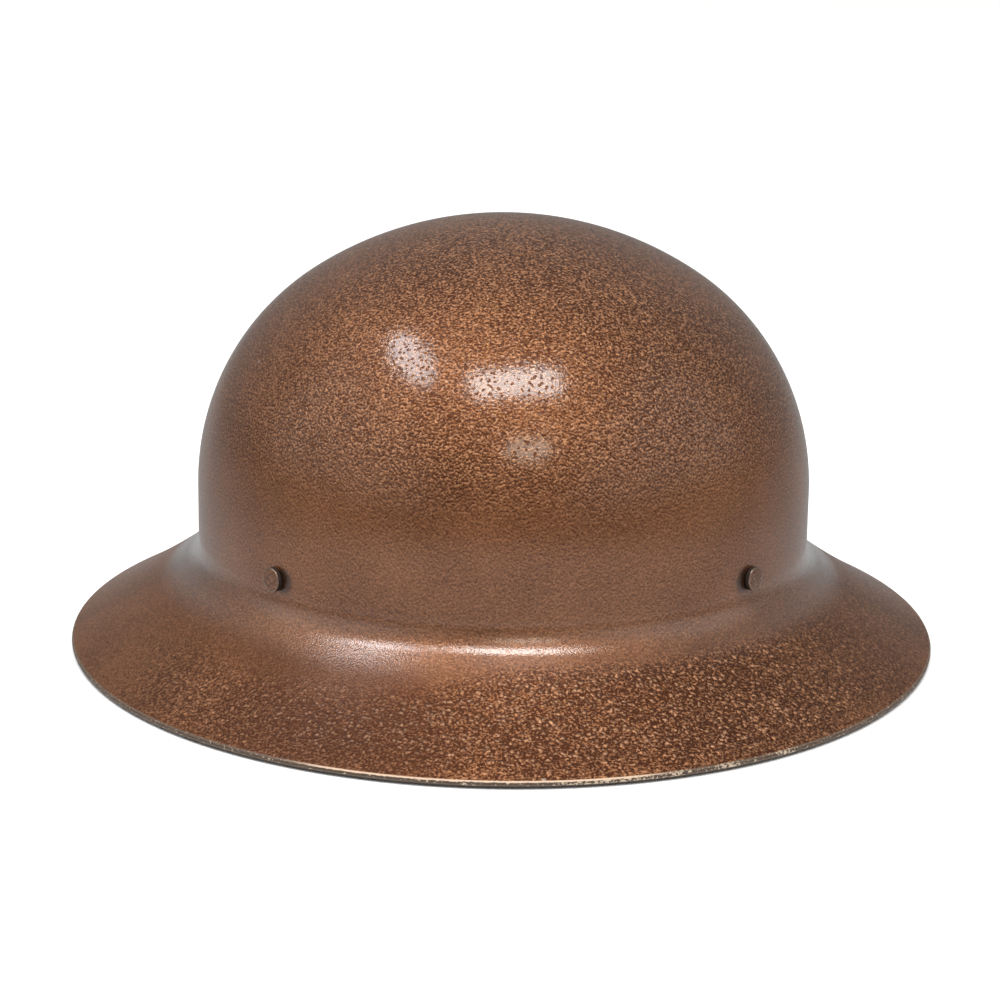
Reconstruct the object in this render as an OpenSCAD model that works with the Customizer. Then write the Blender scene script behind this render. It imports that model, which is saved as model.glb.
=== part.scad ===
// Civil defence helmet: a pressed steel shell with a full brim, and the head harness inside it.
// +Z is up, the wearer faces -Y, and the origin is under the crown, level with the rim's flat.
// Left is -X. Angles round an oval start at the front and grow towards the right, +X.

/* [Shell] */
// Width of the brim, from side to side
brim_w = 300; // [292:1:308]
// Width of the upright wall of the crown, from side to side
crown_w = 212.4; // [209:0.2:216]
// Length of the shell's ovals over their width
shell_oval = 1.12; // [1.1:0.01:1.14]
// Height of the crown
crown_h = 145; // [141:1:149]
// Radius of the top of the dome
dome_r = 123; // [119:1:128]
// Radius of the dome's shoulder
shoulder_r = 85.8; // [82:0.2:89]
// Radius of the flare between the wall and the brim
flare_r = 12; // [10:0.2:14]
// Radius of the brim's hollow, from the flare to the rim
brim_r = 272; // [255:1:290]
// Slope of the brim at the rim, in degrees
rim_slope = 27; // [25.8:0.1:28.2]
// Thickness of the pressed sheet
shell_t = 1.2; // [1:0.1:1.5]
// Thickness of the folded rim
rim_t = 2.4; // [2.2:0.1:2.8]
// Width of the folded rim
rim_w = 3; // [2.5:0.1:4]

/* [Shell rivets] */
// Angle from the front, or from the back, to each rivet
rivet_a = 46; // [42:1:48]
// Turn of the whole set of four, towards the right at the front
rivet_turn = 3; // [0:1:4]
// Height of the rivets above the foot of the upright wall
rivet_rise = 3.92; // [2.9:0.02:4.9]
// Diameter of a flat rivet head
rivet_head_d = 8.6; // [7.6:0.2:9.4]
// Height of a rivet head
rivet_head_h = 1.3; // [1:0.1:1.6]
// Diameter of a rivet's shank
rivet_d = 4.8; // [4:0.2:5]
// Diameter of the closed end inside
rivet_tail_d = 7.4; // [6.8:0.2:8]
// Height of the closed end inside
rivet_tail_h = 1.8; // [1.4:0.1:2.2]
// Diameter of the washer under the closed end
washer_d = 10; // [9:0.5:11]
// Thickness of that washer
washer_t = 0.8; // [0.6:0.1:1.2]

/* [Hangers and hoop] */
// Width of a spring hanger
hanger_w = 12; // [11:0.5:13]
// Thickness of a spring hanger
hanger_t = 1; // [0.8:0.1:1.2]
// Length of a hanger's leg below the shell rivet
hanger_foot = 7.5; // [7:0.5:9]
// Thickness of the hoop
hoop_t = 0.8; // [0.6:0.1:1]
// Height of the hoop
hoop_h = 13; // [12:0.5:15]
// Rise of the hoop's middle above the shell rivets
hoop_rise = 7.5; // [6.5:0.5:9]
// Gap between the sweatband and the hoop
hoop_gap = 3; // [2.9:0.1:3.6]
// Shank diameter of the small rivets on the hoop
small_d = 2.6; // [2.2:0.1:3]
// Head diameter of the small rivets on the hoop
small_head_d = 5; // [4.6:0.2:5.6]
// Head height of the small rivets on the hoop
small_head_h = 0.8; // [0.6:0.1:1]
// Head height of the flat rivets in the buckle and against the forehead
flat_head_h = 0.4; // [0.3:0.1:0.5]

/* [Sweatband] */
// Width of the head opening
head_w = 155; // [150:1:158]
// Length of the head opening
head_l = 197; // [193:1:201]
// Thickness of the leather
band_t = 1.8; // [1.4:0.1:2]
// Height of the leather
band_h = 38; // [34:1:40]
// Lap of the leather up behind the hoop
band_lap = 6; // [4:0.5:8]
// Width of the slit at the back of the leather
slit_w = 12; // [10:1:16]
// Height of the slit at the back of the leather
slit_h = 24; // [22:1:26]
// Thickness of the hooks that hang the leather on the hoop
hook_t = 0.6; // [0.5:0.1:0.8]
// Width of those hooks
hook_w = 8; // [7:0.5:9]
// Length of a hook's strip below the hoop
hook_foot = 7; // [6.5:0.5:8]
// Length of a hook's lip outside the hoop
hook_lip = 5; // [4:0.5:6]

/* [Crown straps] */
// Width of the webbing
web_w = 18; // [16:1:19]
// Thickness of the webbing
web_t = 1.4; // [1.2:0.1:1.5]
// Angle round the oval to the straps that lie beside the forehead and the nape
strap_a = 62; // [61:1:64]
// Distance from the middle of the crown to the lace
lace_ring_r = 32; // [30:1:36]
// Height of the lace under the top of the crown
lace_drop = 34; // [31:1:38]
// Diameter of the lace
lace_d = 3.2; // [2.8:0.2:3.6]
// Diameter of the lace's knot
knot_d = 9; // [8:0.5:10]
// Length of the lace's two ends past the middle of the knot
end_l = 16; // [12:1:18]
// Dip of those ends below level, in degrees
end_dip = 35; // [25:5:45]
// Half the angle between those ends, seen from above
end_spread = 40; // [30:5:50]

/* [Chin strap rings] */
// Width of a ring's straight bar, between the middles of its legs
ring_w = 24; // [22:1:28]
// Length of a ring's straight legs
ring_leg = 4; // [3:0.5:5]
// Diameter of the ring's wire
ring_d = 2.6; // [2.4:0.1:3]
// Width of the tab that holds a ring
tab_w = 14; // [12:0.5:16]
// Thickness of that tab
tab_t = 0.8; // [0.7:0.1:1]
// Drop of the ring's bar below the hoop
ring_drop = 5.5; // [5:0.5:7]

/* [Nape strap] */
// Width of the nape webbing
nape_w = 16; // [14:1:17]
// Middle of the nape webbing above the lower edge of the sweatband
nape_rise = 12; // [11.5:0.5:13]
// Gap between the leather and the middle of the nape webbing
nape_off = 2.4; // [2.3:0.1:2.7]
// Angle from the back to each end of the nape webbing
nape_a = 50; // [46:1:54]
// Angle from the back to the tip of its free end
tail_a = 30; // [28:1:32]
// Angle from each end of the nape webbing to its rivet
end_rivet_a = 3; // [3:0.5:4]
// Height of the buckle's plate
buckle_h = 21; // [20:0.5:22]
// Length of the buckle's plate to the right of the middle
buckle_right = 9; // [8.5:0.5:11]
// Length of the buckle's plate to the left of the middle
buckle_left = 14; // [13:0.5:15]
// Thickness of the buckle's plate and cheeks
buckle_t = 0.8; // [0.6:0.1:1]
// Diameter of the cam's pin
pin_d = 2; // [1.8:0.1:2.2]
// Diameter of the pin's heads
pin_head_d = 3.4; // [3:0.1:3.8]
// Height of the pin's heads
pin_head_h = 0.6; // [0.4:0.1:0.8]
// Distance from the middle to the cam's pin, towards the right
pin_y = 4.5; // [4:0.5:5]
// Diameter of the cam's hub
hub_d = 4.8; // [4.4:0.2:5]
// Offset of the cam's hub from its pin
cam_throw = 0.5; // [0.3:0.1:0.6]
// Length of the cam's thumb plate
lever_l = 11; // [9:0.5:11.5]
// Thickness of the cam's thumb plate
lever_t = 1.2; // [1:0.1:1.4]
// Width of the sliding keeper
keeper_w = 8; // [6:0.5:9]
// Thickness of the sliding keeper
keeper_t = 0.9; // [0.8:0.1:1]
// Gap between the keeper and the webbing in it
keeper_gap = 0.45; // [0.4:0.05:0.5]
// Gap between the buckle's plate and the keeper
keeper_rest = 1.5; // [1:0.5:2]

/* [Fits] */
// Gap between pieces that lie on each other
seat = 0.3; // [0.25:0.05:0.35]
// Gap between a flat piece and a curved wall
curved_seat = 0.6; // [0.55:0.05:0.7]
// Gap round a shank or a wire in its hole
hole_gap = 0.2; // [0.1:0.05:0.25]
// Running gap of the cam round its pin
run_gap = 0.08; // [0.06:0.01:0.1]

/* [Hidden] */
$fn = 96;
// Reach of a cut that goes past everything
big = 400;
// Degrees between the points of an oval's outline, and of the nape webbing
oval_step = 2.5;
nape_step = 2;
// Sides of the lace's tube, and its steps round each bend
lace_sides = 8;
lace_steps = 5;
// The nape webbing leaves the leather this many degrees from its ends, and lifts over the next ones
lift_start = 8;
lift_turn = 16;
// The right length climbs onto the left one from here on, in degrees left of the back
climb_start = -1.5;
climb_turn = 5.5;
// The left length starts this many degrees past the climb
climb_gap = 0.5;

// Shell section: centres and joins of its arcs, in (radius, height)
brim_half = brim_w / 2;
wall_half = crown_w / 2;
nose_r = rim_t / 2;
nose = [brim_half - nose_r, nose_r];
rim_dir = [sin(rim_slope), cos(rim_slope)];
dome_c = [0, crown_h - dome_r];
shoulder_c = [
    wall_half - shoulder_r,
    dome_c[1] + sqrt(pow(dome_r - shoulder_r, 2) - pow(wall_half - shoulder_r, 2))
];
brim_c = nose + (brim_r + nose_r) * rim_dir;
flare_x = wall_half + flare_r;
flare_c = [flare_x, brim_c[1] - sqrt(pow(brim_r - flare_r, 2) - pow(brim_c[0] - flare_x, 2))];
wall_foot = flare_c[1];

// Ovals as half width and half length
function grown(o, d) = [o[0] + d, o[1] + d];
wall_out = [wall_half, wall_half * shell_oval];
wall_in = [wall_half - shell_t, (wall_half - shell_t) * shell_oval];
band_in = [head_w / 2, head_l / 2];
band_out = grown(band_in, band_t);
hoop_in = grown(band_out, hoop_gap);
hoop_mid = grown(hoop_in, hoop_t / 2);
hoop_out = grown(hoop_in, hoop_t);

// A point of an oval, the direction of its outward normal, and the way inwards from p to an oval
function at(a, o) = [o[0] * sin(a), -o[1] * cos(a)];
function facing(a, o) = atan2(-cos(a) / o[1], sin(a) / o[0]);
function unit(t) = [cos(t), sin(t)];
function facing_of(p, o) = atan2(p[1] / pow(o[1], 2), p[0] / pow(o[0], 2));
function dot_in(p, q, o) = p[0] * q[0] / pow(o[0], 2) + p[1] * q[1] / pow(o[1], 2);
function inwards(p, d, o) = let (dd = dot_in(d, d, o), pd = dot_in(p, d, o))
    (pd - sqrt(pow(pd, 2) - dd * (dot_in(p, p, o) - 1))) / dd;

// Heights
rivet_z = wall_foot + rivet_rise;
hoop_z = rivet_z + hoop_rise;
hoop_top = hoop_z + hoop_h / 2;
hoop_foot = hoop_z - hoop_h / 2;
band_top = hoop_foot + band_lap;
band_foot = band_top - band_h;
hook_z = hoop_foot - hook_foot / 2;
lace_z = crown_h - lace_drop;
nape_z = band_foot + nape_rise;

// How far the flare stands out of the wall's line at the height z
function flare_out(z) = let (down = max(0, wall_foot - z)) flare_r - sqrt(flare_r * flare_r - down * down);
// Gap between the wall and a shell rivet's head, whose lower edge meets the flare
head_off = hole_gap + shell_oval * flare_out(rivet_z - rivet_head_d / 2);

// How far the shell's inside leans in at the height z, where the shoulder starts below it
function lean(z) = let (r = shoulder_r - shell_t, up = max(0, z - shoulder_c[1])) r - sqrt(r * r - up * up);
// Gap between the wall and a hanger's back, which stands clear of the shoulder too
hanger_back = curved_seat + shell_oval * lean(hoop_top);

// Angles round the ovals
front_left = -rivet_a + rivet_turn;
front_right = rivet_a + rivet_turn;
rear_right = 180 - rivet_a + rivet_turn;
rear_left = 180 + rivet_a + rivet_turn;
RIVETS = [front_left, front_right, rear_left, rear_right];
STRAPS = [0, strap_a, 180 - strap_a, 180, 180 + strap_a, 360 - strap_a];
HOOKS = [22, 77, 103, 158, 202, 257, 283, 338];
RING_SIDES = [90, 270];
NAPE_ENDS = [180 - nape_a + end_rivet_a, 180 + nape_a - end_rivet_a];

// A hanger: where its rivet meets the shell's inside, the way it faces, and its reach to the hoop
function rivet_dir(a) = facing(a, wall_out);
function wall_here(a) = inwards(at(a, wall_out), unit(rivet_dir(a)), wall_in);
function inner_pt(a) = at(a, wall_out) - wall_here(a) * unit(rivet_dir(a));
function first_hit(a) = inner_pt(a) - inwards(inner_pt(a), unit(rivet_dir(a)), hoop_out) * unit(rivet_dir(a));
function hanger_dir(a) = (rivet_dir(a) + facing_of(first_hit(a), hoop_out)) / 2;
function hanger_reach(a) = inwards(inner_pt(a), unit(hanger_dir(a)), hoop_out);

// Nape strap layers, as distances out from the leather, and the circle that its back follows
tail_off = nape_off + web_t + flat_head_h + 2 * seat;
pin_off = nape_off + web_t + seat + hub_d / 2 + cam_throw;
nape_arc_r = pow(band_out[0], 2) / band_out[1];
nape_arc_y = band_out[1] - nape_arc_r;
function arc_deg(l) = l / (nape_arc_r + nape_off) * 180 / PI;

module on_oval(a, o, z = 0) {
    p = at(a, o);
    translate([p[0], p[1], z]) rotate([0, 0, facing(a, o)]) children();
}

// A flat outline in (out, up), as wide as w along the oval
module across(w) {
    rotate([90, 0, 0]) linear_extrude(w, center = true) children();
}

function oval_points(o) = [for (a = [0:oval_step:360 - oval_step]) at(a, o)];

module oval_ring(inner, outer, h) {
    linear_extrude(h) difference() {
        polygon(oval_points(outer));
        polygon(oval_points(inner));
    }
}

// A pin along X, from x0 to x1
module rod(d, x0, x1) {
    translate([x0, 0, 0]) rotate([0, 90, 0]) cylinder(d = d, h = x1 - x0);
}

// A small rivet's hole along X, cut to reach on each side
module small_hole(reach) {
    rod(small_d + 2 * hole_gap, -reach, reach);
}

// A rivet along X: its head stands out of x = 0, and its closed end lies beyond len
module rivet(d, len, head_d, head_h, tail_d, tail_h) {
    edge = head_h / 4;
    rotate([0, 90, 0]) rotate_extrude() polygon([
        [0, -len - tail_h], [tail_d / 2 - tail_h / 2, -len - tail_h], [tail_d / 2, -len - tail_h / 2],
        [tail_d / 2, -len], [d / 2, -len], [d / 2, 0], [head_d / 2, 0],
        [head_d / 2, head_h - edge], [head_d / 2 - edge, head_h], [0, head_h]
    ]);
}

// All that lies under the shell's outer surface, drawn in by t
module under_dome(t) {
    join = dome_c + 2 * dome_r * (shoulder_c - dome_c) / norm(shoulder_c - dome_c);
    intersection() {
        translate(dome_c) circle(dome_r - t);
        polygon([dome_c, join, [0, join[1]]]);
    }
    intersection() {
        translate(shoulder_c) circle(shoulder_r - t);
        translate([0, wall_foot]) square([big, big]);
    }
    translate([0, wall_foot]) square([wall_half - t, shoulder_c[1] - wall_foot]);
}

module under_brim(t) {
    join = brim_c + big * (flare_c - brim_c) / norm(flare_c - brim_c);
    corner = nose + (wall_foot - nose[1]) / rim_dir[1] * rim_dir;
    difference() {
        polygon([[0, 0], [nose[0], 0], nose, corner, [0, wall_foot]]);
        translate(flare_c) circle(flare_r + t);
        intersection() {
            translate(brim_c) circle(brim_r + t);
            polygon([brim_c, join, [big, join[1]], [big, brim_c[1]]]);
        }
    }
}

module shell_section() {
    difference() {
        union() {
            under_dome(0);
            under_brim(0);
        }
        under_dome(shell_t);
        intersection() {
            under_brim(shell_t);
            square([brim_half - rim_w, big]);
        }
    }
    translate(nose) circle(nose_r, $fn = 24);
}

module shell() {
    color("saddlebrown") difference() {
        scale([1, shell_oval, 1]) rotate_extrude() shell_section();
        for (a = RIVETS) on_oval(a, wall_out, rivet_z) rod(rivet_d + 2 * hole_gap, -4 * shell_t, 2 * shell_t);
    }
}

module shell_rivet(a) {
    len = head_off + wall_here(a) + hanger_back + hanger_t + seat + washer_t + seat;
    color("sienna") on_oval(a, wall_out, rivet_z) translate([head_off, 0, 0])
        rivet(rivet_d, len, rivet_head_d, rivet_head_h, rivet_tail_d, rivet_tail_h);
}

module rivet_washers() {
    color("silver") for (a = RIVETS) {
        face = -wall_here(a) - hanger_back - hanger_t - seat;
        on_oval(a, wall_out, rivet_z) difference() {
            rod(washer_d, face - washer_t, face);
            rod(rivet_d + 2 * hole_gap, face - 2 * washer_t, face + washer_t);
        }
    }
}

// Frame of a hanger: its origin on the shell's inner wall, +X towards the wall
module at_hanger(a) {
    p = inner_pt(a);
    translate([p[0], p[1], 0]) rotate([0, 0, hanger_dir(a)]) children();
}

// An upright outline with a round top: y1 is where its sides end
module arch(x0, x1, y0, y1) {
    translate([x0, y0]) square([x1 - x0, y1 - y0]);
    translate([(x0 + x1) / 2, y1]) circle((x1 - x0) / 2);
}

module hanger(a) {
    reach = hanger_reach(a);
    color("darkgray") difference() {
        at_hanger(a) across(hanger_w) difference() {
            arch(-reach + curved_seat, -hanger_back, rivet_z - hanger_foot, hoop_top);
            arch(-reach + curved_seat + hanger_t, -hanger_back - hanger_t, 0, hoop_top);
            translate([-reach, 0]) square([reach / 2, hoop_foot]);
        }
        on_oval(a, wall_out, rivet_z) rod(rivet_d + 2 * hole_gap, -4 * hanger_t - hanger_back, shell_t);
        at_hanger(a) translate([-reach, 0, hoop_z]) small_hole(3 * hanger_t);
    }
}

// Frame of a small rivet on the hoop: its origin on the hoop's outer face
module at_hoop_rivet(a) {
    at_hanger(a) translate([-hanger_reach(a), 0, hoop_z]) children();
}

module hoop() {
    color("lightgray") difference() {
        translate([0, 0, hoop_foot]) oval_ring(hoop_in, hoop_out, hoop_h);
        for (a = RIVETS) at_hoop_rivet(a) small_hole(3 * hoop_t);
        for (a = RING_SIDES) on_oval(a, hoop_out, hoop_z) small_hole(3 * hoop_t);
    }
}

// A small rivet from outside the hoop: stack is what it holds there
module small_rivet(stack) {
    grip = stack + hoop_t + curved_seat;
    translate([stack, 0, 0]) rivet(small_d, grip, small_head_d, small_head_h, small_head_d, small_head_h);
}

module hoop_rivets() {
    color("goldenrod") {
        for (a = RIVETS) at_hoop_rivet(a) small_rivet(curved_seat + hanger_t + hole_gap);
        for (a = RING_SIDES) on_oval(a, hoop_out, hoop_z) small_rivet(seat + tab_t + hole_gap);
    }
}

module sweatband() {
    color("peru") difference() {
        translate([0, 0, band_foot]) oval_ring(band_in, band_out, band_h);
        translate([0, band_out[1], band_foot - slit_w]) rotate([90, 0, 0]) linear_extrude(slit_w, center = true)
            arch(-slit_w / 2, slit_w / 2, 0, slit_w / 2 + slit_h);
        for (a = HOOKS) on_oval(a, band_out, hook_z) small_hole(2 * band_t);
        for (a = NAPE_ENDS) on_oval(a, band_out, nape_z) small_hole(2 * band_t);
    }
}

module sweatband_hooks() {
    over = hoop_gap + hoop_t + seat;
    color("khaki") for (a = HOOKS) on_oval(a, band_out) difference() {
        across(hook_w) {
            translate([seat, hoop_foot - hook_foot]) square([hook_t, hoop_h + hook_foot + seat + hook_t]);
            translate([seat, hoop_top + seat]) square([over + hook_t - seat, hook_t]);
            translate([over, hoop_top + seat - hook_lip]) square([hook_t, hook_lip + hook_t]);
        }
        translate([0, 0, hook_z]) small_hole(3 * hook_t);
    }
}

// A small rivet through the leather: stack is what it holds outside
module band_rivet(stack) {
    grip = stack + band_t + hole_gap;
    translate([stack, 0, 0])
        rivet(small_d, grip, small_head_d, small_head_h, small_head_d, flat_head_h);
}

module hook_rivets() {
    color("goldenrod") for (a = HOOKS) on_oval(a, band_out, hook_z) band_rivet(seat + hook_t + hole_gap);
}

// A crown strap: a loop sewn round the hoop, a run up to the crown, and a loop round the lace
loop_in = hoop_t / 2 + curved_seat + seat;
loop_out = hoop_t / 2 + seat;
run_foot = hoop_top + seat + (loop_in + loop_out) / 2;

module stadium(x0, x1, y0, y1) {
    arch(x0, x1, y0, y1);
    translate([(x0 + x1) / 2, y0]) circle((x1 - x0) / 2);
}

module crown_strap(a) {
    p = at(a, hoop_mid);
    far = norm(p) - (loop_in - loop_out) / 2;
    rise = (lace_z - run_foot) / sqrt(1 - pow(lace_ring_r / far, 2));
    eye_r = lace_d / 2 + seat;
    color("burlywood") {
        on_oval(a, hoop_mid) across(web_w) difference() {
            stadium(-loop_in - web_t, loop_out + web_t, hoop_foot - seat, hoop_top + seat);
            stadium(-loop_in, loop_out, hoop_foot - seat, hoop_top + seat);
        }
        rotate([0, 0, atan2(p[1], p[0])]) across(web_w) {
            difference() {
                translate([0, run_foot]) scale([far + web_t / 2, rise + web_t / 2]) circle(1);
                translate([0, run_foot]) scale([far - web_t / 2, rise - web_t / 2]) circle(1);
                translate([-big, -big + run_foot]) square([2 * big, big]);
                translate([-big, 0]) square([big + lace_ring_r + eye_r, big]);
            }
            translate([lace_ring_r, lace_z]) difference() {
                circle(eye_r + web_t);
                circle(eye_r);
            }
        }
    }
}

// The lace: straight through each strap's loop, with a bend between each pair of loops
function strap_az(i) = let (p = at(STRAPS[i % 6], hoop_mid)) atan2(p[1], p[0]);
function turn_after(i) = (strap_az(i + 1) - strap_az(i) + 360) % 360;

function bend_of(i) = lace_ring_r - web_w / 2 / tan(turn_after(i) / 2);
function bend_c(i) = (lace_ring_r - bend_of(i)) * unit(strap_az(i)) + web_w / 2 * unit(strap_az(i) + 90);

// A closed tube round the crown: each ring has a middle and the direction that it faces away from the crown
module crown_lace() {
    rings = [for (i = [0:5]) for (j = [0:lace_steps])
        let (az = strap_az(i) + turn_after(i) * j / lace_steps) [bend_c(i) + bend_of(i) * unit(az), az]];
    points = [for (ring = rings) for (k = [0:lace_sides - 1])
        let (t = 360 * k / lace_sides, out = ring[0] + lace_d / 2 * cos(t) * unit(ring[1]))
        [out[0], out[1], lace_z + lace_d / 2 * sin(t)]];
    count = len(points);
    faces = [for (n = [0:len(rings) - 1]) for (k = [0:lace_sides - 1])
        let (a = n * lace_sides + k, b = n * lace_sides + (k + 1) % lace_sides)
        let (c = (a + lace_sides) % count, d = (b + lace_sides) % count)
        for (face = [[a, b, c], [b, d, c]]) face];
    color("ivory") {
        polyhedron(points, faces);
        knot();
    }
}

// The lace's knot, in the bend before the rear strap, with its two short ends inside the ring
module knot() {
    knot_x = norm(bend_c(2)) + bend_of(2);
    rotate([0, 0, strap_az(2) + turn_after(2) / 2]) translate([knot_x, 0, lace_z]) {
        sphere(d = knot_d);
        for (side = [-1, 1]) rotate([0, 0, 180 + side * end_spread]) rotate([0, 90 + end_dip, 0])
            cylinder(d = lace_d, h = end_l);
    }
}

// Chin strap rings: a tab riveted to the hoop, curled into an eye, and the wire ring in the eye
eye_in = ring_d / 2 + hole_gap;
eye_out = eye_in + tab_t;
ring_x = seat + eye_out;
ring_z = hoop_foot - ring_drop;

module ring_tab(a) {
    top = hoop_z + small_head_d / 2 + tab_t;
    color("darkgray") on_oval(a, hoop_out) difference() {
        across(tab_w) {
            difference() {
                translate([seat, ring_z]) square([tab_t, top - ring_z]);
                translate([ring_x, ring_z]) circle(eye_in);
            }
            translate([ring_x, ring_z]) difference() {
                circle(eye_out);
                circle(eye_in);
            }
        }
        translate([0, 0, hoop_z]) small_hole(3 * tab_t);
    }
}

module chin_ring(a) {
    half = ring_w / 2;
    color("dimgray") on_oval(a, hoop_out, ring_z) translate([ring_x, 0, 0]) {
        rotate([90, 0, 0]) cylinder(d = ring_d, h = ring_w, center = true);
        for (y = [-half, half]) translate([0, y, 0]) {
            sphere(d = ring_d);
            translate([0, 0, -ring_leg]) cylinder(d = ring_d, h = ring_leg);
        }
        translate([0, 0, -ring_leg]) rotate([90, 0, 90]) rotate([0, 0, 180])
            rotate_extrude(angle = 180) translate([half, 0]) circle(d = ring_d);
    }
}

// Nape strap: two lengths of webbing in a smooth line, given by their gap to the leather at each angle.
// The right one climbs onto the left one behind the cam.
left_start = climb_start + climb_turn + climb_gap;
function ease(t) = t <= 0 ? 0 : t >= 1 ? 1 : t * t * (3 - 2 * t);
function lower_off(a) = seat + (nape_off - seat) * ease((nape_a - lift_start - abs(a - 180)) / lift_turn);
function climb(a) = (tail_off - nape_off) * ease((a - 180 - climb_start) / climb_turn);
function upper_off(a) = lower_off(a) + climb(a);
function out_from(a, off) = at(a, band_out) + off * unit(facing(a, band_out));

module webbing(a0, a1, upper) {
    count = round((a1 - a0) / nape_step);
    steps = [for (i = [0:count]) a0 + i * (a1 - a0) / count];
    inner = [for (a = steps) out_from(a, upper ? upper_off(a) : lower_off(a))];
    outer = [for (a = steps) out_from(a, (upper ? upper_off(a) : lower_off(a)) + web_t)];
    back = [for (i = [count:-1:0]) outer[i]];
    translate([0, 0, nape_z - nape_w / 2]) linear_extrude(nape_w) polygon(concat(inner, back));
}

// Frame of the buckle's flat pieces: +X out of the back, +Y towards the left
module at_buckle(y = 0) {
    translate([0, nape_arc_y, nape_z]) rotate([0, 0, 90 + arc_deg(y)]) translate([nape_arc_r, 0, 0]) children();
}

// A section in (out from the leather, up), turned round the back from y0 to y1 towards the left
module round_back(y0, y1) {
    translate([0, nape_arc_y, nape_z]) rotate([0, 0, 90 + arc_deg(y0)])
        rotate_extrude(angle = arc_deg(y1 - y0)) translate([nape_arc_r, 0]) children();
}

module nape_strap_left() {
    color("burlywood") difference() {
        webbing(180 + left_start, 180 + nape_a, false);
        on_oval(NAPE_ENDS[1], band_out, nape_z) small_hole(3 * web_t);
        at_buckle_rivets() translate([nape_off, 0, 0]) small_hole(3 * web_t);
    }
}

module nape_strap_right() {
    color("burlywood") difference() {
        webbing(180 - nape_a, 180 + tail_a, true);
        on_oval(NAPE_ENDS[0], band_out, nape_z) small_hole(3 * web_t);
    }
}

module nape_rivets() {
    color("goldenrod") for (a = NAPE_ENDS) on_oval(a, band_out, nape_z) band_rivet(seat + web_t + hole_gap);
}

// The two rivets that hold the left webbing to the buckle's plate
module at_buckle_rivets() {
    y = buckle_left - small_head_d / 2 - seat;
    for (z = [-nape_w / 4, nape_w / 4]) at_buckle(y) translate([0, 0, z]) children();
}

module buckle_rivets() {
    foot = nape_off - seat - buckle_t - hole_gap;
    top = nape_off + web_t + hole_gap;
    color("goldenrod") at_buckle_rivets() translate([top, 0, 0])
        rivet(small_d, top - foot, small_head_d, flat_head_h, small_head_d, flat_head_h);
}

// One cheek of the buckle, seen from above: its foot is at x = root, and its round nose holds the pin
module cheek(root) {
    r = hub_d / 2 + cam_throw;
    difference() {
        union() {
            translate([root, -r]) square([pin_off - root, 2 * r]);
            translate([pin_off, 0]) circle(r);
        }
        translate([pin_off, 0]) circle(pin_d / 2 + hole_gap);
    }
}

module buckle_plate() {
    inner = nape_off - seat - buckle_t;
    color("silver") {
        difference() {
            round_back(-buckle_right, buckle_left)
                translate([inner, -buckle_h / 2]) square([buckle_t, buckle_h]);
            at_buckle_rivets() translate([inner, 0, 0]) small_hole(3 * buckle_t);
        }
        for (z = [-buckle_h / 2, buckle_h / 2 - buckle_t])
            at_buckle(-pin_y) translate([0, 0, z]) linear_extrude(buckle_t) cheek(inner + buckle_t / 2);
    }
}

module cam_lever() {
    h = buckle_h - 2 * buckle_t - 2 * seat;
    r = hub_d / 2;
    color("gray") at_buckle(-pin_y) translate([pin_off, 0, -h / 2]) linear_extrude(h) difference() {
        union() {
            translate([-cam_throw, 0]) circle(r);
            translate([r - cam_throw - lever_t, -lever_l]) square([lever_t, lever_l]);
        }
        circle(pin_d / 2 + run_gap);
    }
}

module cam_pin() {
    shank = buckle_h + 2 * hole_gap;
    color("silver") at_buckle(-pin_y) translate([pin_off, 0, 0]) {
        cylinder(d = pin_d, h = shank + pin_head_h, center = true);
        for (z = [-shank / 2 - pin_head_h, shank / 2]) translate([0, 0, z])
            cylinder(d = pin_head_d, h = pin_head_h);
    }
}

module keeper() {
    y0 = buckle_left + keeper_rest;
    x0 = nape_off - keeper_gap;
    x1 = tail_off + web_t + keeper_gap;
    half = nape_w / 2 + keeper_gap;
    color("sienna") round_back(y0, y0 + keeper_w) difference() {
        translate([x0 - keeper_t, -half - keeper_t]) square([x1 - x0 + 2 * keeper_t, 2 * (half + keeper_t)]);
        translate([x0, -half]) square([x1 - x0, 2 * half]);
    }
}

shell();
shell_rivet(front_left);  // rivet_front_left
shell_rivet(front_right);  // rivet_front_right
shell_rivet(rear_left);  // rivet_rear_left
shell_rivet(rear_right);  // rivet_rear_right
rivet_washers();
hanger(front_left);  // hanger_front_left
hanger(front_right);  // hanger_front_right
hanger(rear_left);  // hanger_rear_left
hanger(rear_right);  // hanger_rear_right
hoop();
hoop_rivets();
sweatband();
sweatband_hooks();
hook_rivets();
crown_strap(STRAPS[0]);  // strap_front
crown_strap(STRAPS[1]);  // strap_front_right
crown_strap(STRAPS[2]);  // strap_rear_right
crown_strap(STRAPS[3]);  // strap_rear
crown_strap(STRAPS[4]);  // strap_rear_left
crown_strap(STRAPS[5]);  // strap_front_left
crown_lace();
ring_tab(RING_SIDES[1]);  // ring_tab_left
ring_tab(RING_SIDES[0]);  // ring_tab_right
chin_ring(RING_SIDES[1]);  // chin_ring_left
chin_ring(RING_SIDES[0]);  // chin_ring_right
nape_strap_left();
nape_strap_right();
nape_rivets();
buckle_plate();
buckle_rivets();
cam_lever();
cam_pin();
keeper();
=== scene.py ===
"""A civil defence helmet in hammered copper paint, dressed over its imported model.

Lengths are millimetres in the functions that work out a shape, and metres in Blender. The wearer faces -Y,
left is -X, and angles round an oval start at the front and grow towards the right.
"""

import math

import bmesh
import bpy
import numpy as np
from bpy.props import FloatProperty, FloatVectorProperty, PointerProperty
from mathutils import Matrix, Vector


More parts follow.
